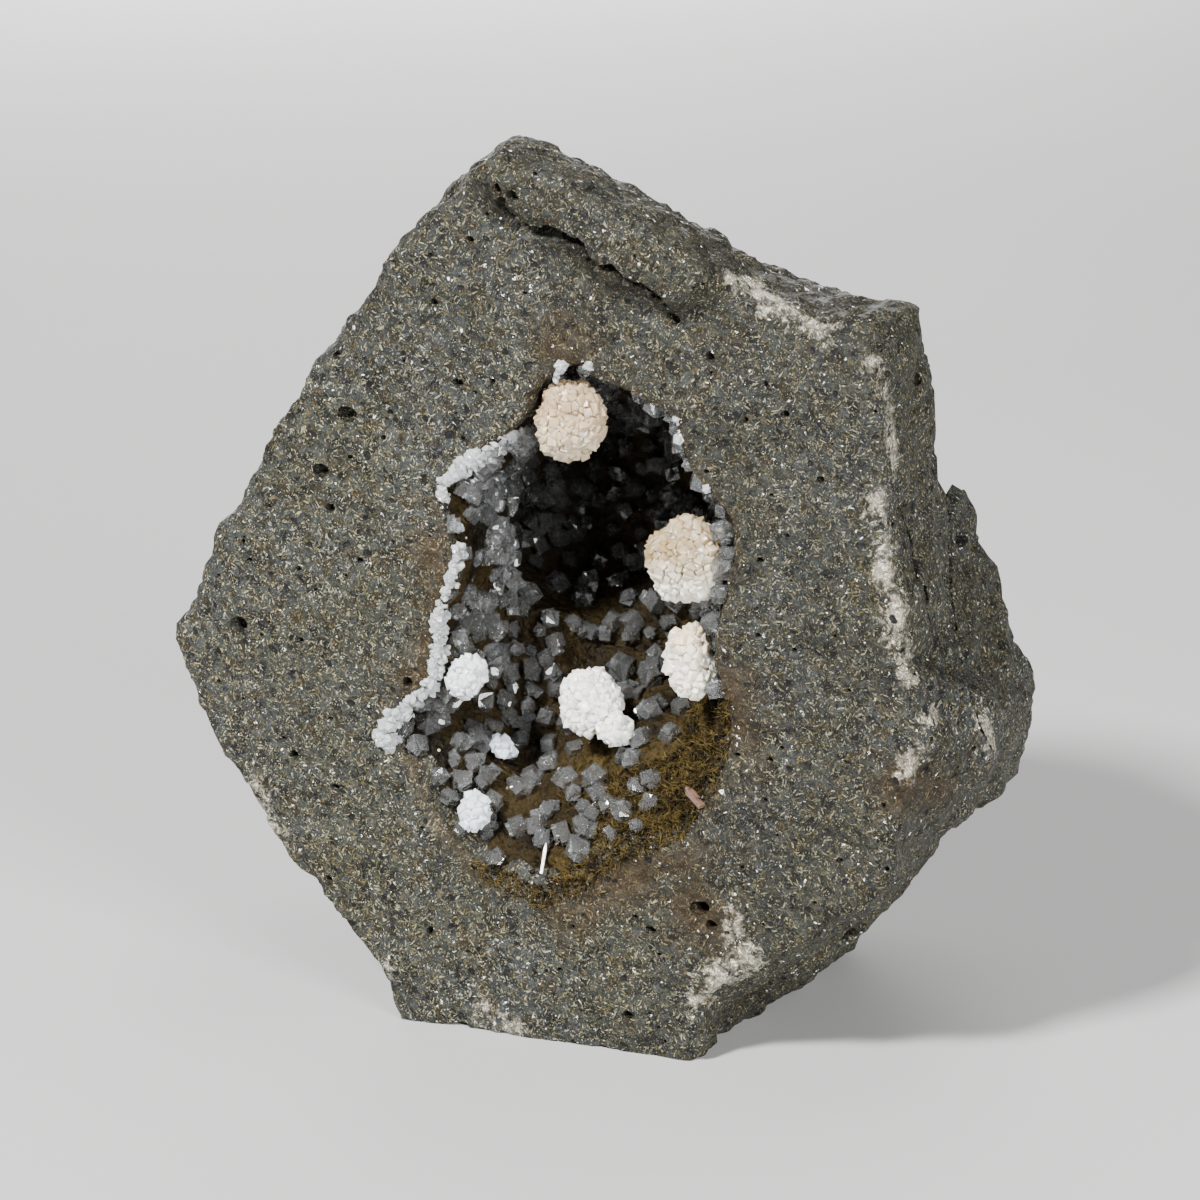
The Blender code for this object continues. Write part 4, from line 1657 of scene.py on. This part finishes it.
@dataclass
class ChabaziteDruse:
    """Chabazite crystals: the ones that the photograph shows one by one, and a cover on the walls."""

    lining: bpy.types.Mesh
    rim: Sequence[Vector]
    seed: int = 12
    wall_spacing: float = 1.55 * MM
    floor_spacing: float = 4.4 * MM
    floor_lean: float = 0.42
    cover_size: tuple[float, float] = (1.3, 2.2)
    rim_gap: float = 2.0 * MM
    sink: float = 0.06
    attempts: int = 14000

    # Where crystals are seen, and their sizes in millimetres
    CRYSTALS = (
        (527, 596, 2.2), (556, 585, 2.2), (549, 618, 2.0), (590, 582, 2.0), (619, 580, 1.8),
        (610, 623, 2.4), (635, 623, 2.2), (641, 562, 2.0), (607, 633, 1.8), (630, 633, 1.8),
        (507, 672, 2.2), (536, 668, 2.4), (547, 658, 1.8), (491, 653, 2.2), (482, 702, 2.3),
        (505, 699, 2.2), (507, 714, 2.0), (549, 717, 2.0), (457, 740, 2.2), (479, 737, 2.4),
        (518, 742, 2.0), (551, 745, 2.1), (553, 762, 2.0), (573, 751, 1.8), (475, 763, 2.2),
        (521, 785, 2.2), (532, 776, 1.9), (567, 782, 2.2), (578, 795, 2.0), (597, 781, 2.2),
        (638, 786, 1.6), (652, 781, 1.6), (625, 814, 2.3), (593, 810, 2.3), (590, 829, 2.2),
        (550, 811, 2.0), (518, 829, 2.0), (539, 827, 2.2), (562, 834, 2.0), (493, 829, 1.8),
        (486, 778, 1.9), (494, 857, 2.1), (498, 878, 1.7), (443, 823, 1.7), (457, 832, 1.8),
        (624, 668, 2.4), (655, 656, 2.2), (653, 676, 2.2), (630, 694, 2.2), (651, 714, 2.4),
        (684, 709, 2.0), (643, 740, 2.2), (671, 737, 2.2), (625, 758, 2.0), (700, 610, 1.8),
        (676, 640, 2.0), (668, 620, 2.0), (600, 560, 2.0), (570, 560, 2.0), (585, 600, 1.8),
        (498, 490, 2.0), (480, 476, 2.0), (500, 540, 2.2), (492, 556, 2.0), (500, 575, 2.0),
        (483, 514, 2.0), (455, 525, 1.9), (463, 555, 2.0), (450, 590, 2.0), (478, 605, 2.2),
        (468, 625, 2.2), (488, 622, 2.0), (460, 645, 2.0), (405, 730, 2.0), (425, 722, 2.0),
        (418, 742, 1.8), (440, 718, 2.0), (545, 840, 1.8), (600, 795, 1.8), (612, 803, 2.0),
    )
    # Bare places: round ones with their radii, and outlines on the floor
    BARE_WINDOWS = ((459, 497, 10), (474, 530, 14), (500, 515, 10), (475, 577, 14), (430, 765, 14))
    BARE_FLOORS = (
        ((600, 850), (640, 825), (690, 760), (716, 700), (735, 700), (735, 760), (717, 800), (690, 845),
         (640, 870), (600, 895), (530, 915), (520, 880), (570, 860)),
        ((556, 632), (600, 632), (614, 655), (604, 680), (556, 680)),
        ((512, 768), (560, 768), (577, 790), (575, 822), (512, 815)),
        ((500, 848), (545, 848), (560, 880), (520, 896), (500, 880)),
    )

    def build(self, finish: bpy.types.Material) -> bpy.types.Object:
        """Make the druse.

        Args:
            finish: the chabazite.

        Returns:
            The finished piece.
        """
        skin = Surface(self.lining)
        feet = []
        for column, row, size in self.CRYSTALS:
            hit = skin.seen((column, row))
            if hit is not None:
                feet.append((hit[0] + hit[1] * size * self.sink * MM, hit[1], size * MM))
        self.cover(feet)
        habits = (Habit.TWIN, Habit.CLUMP, Habit.STEP, Habit.CLUMP, Habit.TWIN)
        growth = Growth(habits, forms=3, spread=(0.80, 1.20), lean=0.5, seed=self.seed)
        druse = SETTER.set("chabazite_druse", feet, growth, finish)
        # Painted shade deep in the upper room.
        mark_room_shade(druse.data, skin)
        finished(druse, "chabazite", "zeolite_crust")
        return druse

    def cover(self, feet: list[Foot]) -> None:
        """Add crystals all over the walls and a few on the floor, none on bare places.

        Args:
            feet: the feet so far, which grow.
        """
        draw = random.Random(self.seed)
        rim = tree_of(self.rim)
        balls = ball_sizes()
        corners = self.lining.vertices
        for _attempt in range(self.attempts):
            corner = corners[draw.randrange(len(corners))]
            place, normal = corner.co.copy(), corner.normal.copy()
            pixel = VIEW.pixel(place)
            on_floor = normal.z > self.floor_lean
            spacing = (self.floor_spacing if on_floor else self.wall_spacing) * draw.uniform(0.85, 1.2)
            if rim.find(place)[2] < self.rim_gap:
                continue
            if any(inside_outline(pixel, floor) for floor in self.BARE_FLOORS):
                continue
            if any(math.dist(pixel, (x, y)) < reach for x, y, reach in self.BARE_WINDOWS):
                continue
            if any((place - middle).length < radius for middle, radius in balls):
                continue
            if any((place - foot).length < spacing for foot, _lie, _size in feet):
                continue
            size = draw.uniform(*self.cover_size) * MM
            feet.append((place + normal * size * self.sink, normal, size))


@dataclass
class WhiteRind:
    """Frosty white blades along the mouth's left edge and in small tufts round it."""

    skin: Surface
    pitch: float = 1.0
    jitter: float = 3.6
    deepest: float = -9.0 * MM
    seed: int = 8

    # Rows of crystals: their length in millimetres, how far they lean to the eye, and their lines
    ROWS = (
        (1.1, 0.5, ((531, 428), (505, 440), (482, 452), (462, 463), (446, 476), (441, 488), (445, 501))),
        (1.1, 0.5, ((533, 434), (507, 446), (484, 458), (464, 470), (450, 480))),
        (1.0, 0.5, ((452, 520), (458, 532))),
        (1.1, 0.6, ((455, 545), (457, 560), (452, 578), (445, 596))),
        (1.2, 0.6, ((441, 606), (437, 620), (435, 640), (434, 660), (433, 680), (424, 692))),
        (1.1, 0.6, ((444, 612), (441, 640), (440, 660), (438, 676))),
        (1.3, 0.6, ((424, 692), (408, 702), (396, 714), (384, 728), (382, 740), (392, 746))),
        (1.0, 0.6, ((412, 706), (398, 722), (390, 736), (400, 744))),
        (1.2, 0.6, ((562, 364), (558, 376), (556, 388))),
        (0.9, 0.5, ((586, 366), (592, 372))),
        (0.9, 0.5, ((636, 402), (648, 408), (659, 414))),
        (1.1, 0.5, ((673, 418), (674, 430), (677, 444), (681, 456))),
        (1.1, 0.5, ((695, 482), (702, 489), (712, 497))),
        (0.9, 0.5, ((716, 614), (710, 624), (700, 632))),
        (0.9, 0.5, ((726, 540), (724, 556))),
        (0.9, 0.5, ((514, 499), (511, 512))),
    )

    def build(self, finish: bpy.types.Material) -> bpy.types.Object:
        """Make the rind.

        Args:
            finish: the white crystals' material.

        Returns:
            The finished piece.
        """
        draw = random.Random(self.seed)
        feet = []
        for length, lean, line in self.ROWS:
            for column, row in along(line, self.pitch):
                pixel = (column + draw.uniform(-1, 1) * self.jitter,
                         row + draw.uniform(-1, 1) * self.jitter)
                hit = self.skin.seen(pixel)
                if hit is None or hit[0].y > self.deepest:
                    continue
                away = (hit[1] * 0.6 - VIEW.sight(pixel) * lean).normalized()
                feet.append((hit[0], away, length * draw.uniform(0.35, 0.95) * MM))
        growth = Growth((Habit.BLADE, Habit.TWIN), forms=5, spread=(0.6, 1.2), lean=0.9, seed=self.seed)
        rind = SETTER.set("white_rind", feet, growth, finish)
        finished(rind, "chabazite")
        return rind


@dataclass
class GoldFuzz:
    """Gold-brown fibres on the lower right of the hollow."""

    skin: Surface
    seed: int = 5
    count: int = 3600
    length: float = 0.85 * MM

    FIELDS = (
        ((600, 850), (640, 825), (690, 760), (712, 700), (730, 700), (732, 745), (717, 790), (699, 812),
         (685, 840), (640, 855), (604, 870), (584, 892), (548, 908), (530, 905), (550, 880), (580, 862)),
        ((470, 862), (486, 884), (520, 898), (548, 908), (560, 890), (520, 880), (490, 860)),
        ((560, 790), (640, 765), (680, 750), (700, 690), (715, 700), (700, 780), (650, 830), (600, 850)),
    )

    def build(self, finish: bpy.types.Material) -> bpy.types.Object:
        """Make the fuzz.

        Args:
            finish: the fibres' material.

        Returns:
            The finished piece.
        """
        draw = random.Random(self.seed)
        feet = []
        while len(feet) < self.count:
            pixel = (draw.uniform(460, 740), draw.uniform(680, 920))
            if not any(inside_outline(pixel, field) for field in self.FIELDS):
                continue
            hit = self.skin.seen(pixel)
            if hit is not None:
                feet.append((hit[0], hit[1], self.length * draw.uniform(0.6, 1.2)))
        growth = Growth((Habit.NEEDLE,), forms=4, spread=(0.8, 1.2), lean=1.1, seed=self.seed)
        fuzz = SETTER.set("gold_fuzz", feet, growth, finish)
        finished(fuzz, "chabazite")
        return fuzz


@dataclass
class Splinters:
    """The white splinter and the pinkish shard that lie loose on the hollow's floor."""

    skin: Surface

    # Name, foot and tip, width in millimetres, and height over the floor in millimetres
    PIECES = (
        ("white_splinter", ((549, 864), (549, 844)), 0.28, 0.9),
        ("pink_shard", ((702, 803), (688, 787)), 0.75, 0.4),
    )

    def build(self, finishes: Sequence[bpy.types.Material]) -> None:
        """Make both pieces.

        Args:
            finishes: one material for each piece.
        """
        for (name, ends, width, lift), finish in zip(self.PIECES, finishes):
            hits = [self.skin.seen(pixel) for pixel in ends]
            if None in hits:
                continue
            foot, tip = (place + normal * lift * MM for place, normal in hits)
            work = bmesh.new()
            add_blade(work, width * MM, width * 0.6 * MM, (tip - foot).length)
            turn = (tip - foot).to_track_quat("Z", "Y").to_matrix().to_4x4()
            bmesh.ops.transform(work, matrix=Matrix.Translation(foot) @ turn, verts=work.verts)
            mesh = mesh_of(work, name)
            mesh.materials.append(finish)
            finished(link(name, mesh), "chabazite")


@dataclass
class PhillipsiteBall:
    """One ball of phillipsite: a core set all over with short blocky crystals."""

    node: str
    finish: PhillipsiteFinish
    crystal: float = 0.84 * MM
    spacing: float = 0.48 * MM
    shrink: float = 0.50
    swell: float = 0.75
    swell_size: float = 2.3
    attempts: int = 9000
    seed: int = 3

    def build(self) -> bpy.types.Object:
        """Make the ball."""
        core = link(self.node + "_core", merged_copy(self.node))
        step = core.modifiers.new("finer", "SUBSURF")
        step.levels = step.render_levels = 1
        settle(core)
        displace(core.data, self.lumps)
        growth = Growth((Habit.CUBE, Habit.BLOCK, Habit.CUBE), forms=8, spread=(0.75, 1.45), lean=0.6,
                        seed=self.seed)
        crystals = SETTER.set(self.node + "_crystals", self.feet(core.data), growth, self.finish.build())
        work = bmesh.new()
        work.from_mesh(crystals.data)
        work.from_mesh(core.data)
        work.to_mesh(crystals.data)
        work.free()
        bpy.data.objects.remove(core)
        finished(crystals, "phillipsite", self.node)
        return crystals

    def lumps(self, place: Vector, normal: Vector) -> float:
        """Height of the core's own swellings in millimetres."""
        return noise.noise(place / self.swell_size) * self.swell - self.shrink

    def feet(self, mesh: bpy.types.Mesh) -> list[Foot]:
        """Feet for the crystals, spread evenly over the core."""
        draw = random.Random(self.seed)
        polygons = list(mesh.polygons)
        totals = np.cumsum([face.area for face in polygons])
        feet = []
        grid: dict[tuple[int, int, int], list[Vector]] = {}
        for _attempt in range(self.attempts):
            face = polygons[int(np.searchsorted(totals, draw.random() * totals[-1]))]
            corners = [mesh.vertices[index].co for index in face.vertices]
            shares = [draw.random() for _corner in corners]
            place = sum((corner * share for corner, share in zip(corners, shares)), Vector()) / sum(shares)
            key = tuple(int(part // self.spacing) for part in place)
            near = [spot for step in NEIGHBOURS
                    for spot in grid.get(tuple(a + b for a, b in zip(key, step)), ())]
            if all((place - spot).length > self.spacing for spot in near):
                grid.setdefault(key, []).append(place)
                feet.append((place, face.normal.copy(), self.crystal))
        return feet


@dataclass
class Studio:
    """A pale floor and soft lights."""

    floor_size: float = 3.0
    floor_tones: tuple[Colour, Colour] = ((0.42, 0.42, 0.415), (0.45, 0.45, 0.445))
    air: tuple[float, float, float, float] = (0.85, 0.87, 0.90, 1.0)
    air_light: float = 0.10
    aim: tuple[float, float, float] = (0.0, -0.01, 0.04)

    # Lights: name, place, side and watts
    LIGHTS = (("key", (-0.22, -0.60, 0.66), 0.13, 22.5), ("fill", (0.62, -0.50, 0.34), 0.34, 11.0),
              ("top", (0.05, 0.25, 0.70), 0.40, 2.0), ("back", (-0.34, 0.62, 0.14), 0.40, 5.5))

    def build(self) -> None:
        """Make the floor, the lights and the surroundings."""
        self.floor()
        for name, place, side, power in self.LIGHTS:
            self.light(name, place, side, power)
        world = bpy.data.worlds.new("studio")
        bpy.context.scene.world = world
        world.use_nodes = True
        air = world.node_tree.nodes["Background"].inputs
        air["Color"].default_value = self.air
        air["Strength"].default_value = self.air_light

    def floor(self) -> None:
        """A plain pale floor."""
        half = self.floor_size / 2
        mesh = bpy.data.meshes.new("floor")
        mesh.from_pydata([(-half, -half, 0.0), (half, -half, 0.0), (half, half, 0.0), (-half, half, 0.0)],
                         [], [(0, 1, 2, 3)])
        finish, graph, shader, place = new_finish("floor")
        graph.feed(shader["Base Color"], graph.mix(graph.noise(place, 9.0), *self.floor_tones))
        shader["Roughness"].default_value = 0.9
        mesh.materials.append(finish)
        link("floor", mesh)

    def light(self, name: str, place: tuple[float, float, float], side: float, power: float) -> None:
        """A square soft light that faces the specimen.

        Args:
            name: the light's name.
            place: where it hangs.
            side: its side.
            power: in watts.
        """
        data = bpy.data.lights.new(name, "AREA")
        data.size = side
        data.energy = power
        lamp = bpy.data.objects.new(name, data)
        lamp.location = place
        lamp.rotation_mode = "QUATERNION"
        lamp.rotation_quaternion = (Vector(self.aim) - Vector(place)).to_track_quat("-Z", "Y")
        bpy.context.scene.collection.objects.link(lamp)


FROST = ChabaziteFinish("frost", clear=(0.90, 0.93, 0.95), milky=(0.98, 0.99, 1.0), transmission=0.62)
SPLINTER_FINISHES = (PhillipsiteFinish("white splinter"),
                     PhillipsiteFinish("pink shard", (0.17, 0.10, 0.075)))
BALL_FINISHES = {
    "phillipsite_ball_top": PhillipsiteFinish("top ball", (0.58, 0.47, 0.33), (0.44, 0.31, 0.18),
                                              tan_above=0.0575, tan_share=0.8),
    "phillipsite_ball_right": PhillipsiteFinish("right ball", (0.95, 0.88, 0.75), (0.36, 0.265, 0.14),
                                                tan_above=0.0452, tan_share=1.0),
    "phillipsite_ball_lower_right": PhillipsiteFinish("lower right ball", (0.95, 0.86, 0.71),
                                                      tan_above=0.0385, tan_share=0.6),
    "phillipsite_ball_centre": PhillipsiteFinish("centre ball", (0.99, 0.93, 0.82)),
    "phillipsite_ball_left": PhillipsiteFinish("left ball", (0.78, 0.80, 0.80)),
    "phillipsite_ball_floor": PhillipsiteFinish("floor ball", (0.66, 0.71, 0.75)),
    "phillipsite_ball_low_left": PhillipsiteFinish("low left ball", (0.76, 0.81, 0.86)),
}


def main() -> None:
    """Build the specimen, piece by piece."""
    logging.basicConfig(level=logging.INFO, format="%(name)s %(message)s")
    VIEW.place_camera()
    lining = VugLining()
    lining.build(LiningFinish().build())
    block = BasaltBlock(lining.rim).build(BasaltFinish().build())
    front = Surface(block.data, lining.face)
    ChabaziteDruse(lining.face, lining.rim).build(ChabaziteFinish().build())
    WhiteRind(front).build(FROST.build())
    GoldFuzz(front).build(FuzzFinish().build())
    Splinters(front).build([finish.build() for finish in SPLINTER_FINISHES])
    for node, finish in BALL_FINISHES.items():
        PhillipsiteBall(node, finish).build()
    Studio().build()


if __name__ == "__main__":
    main()
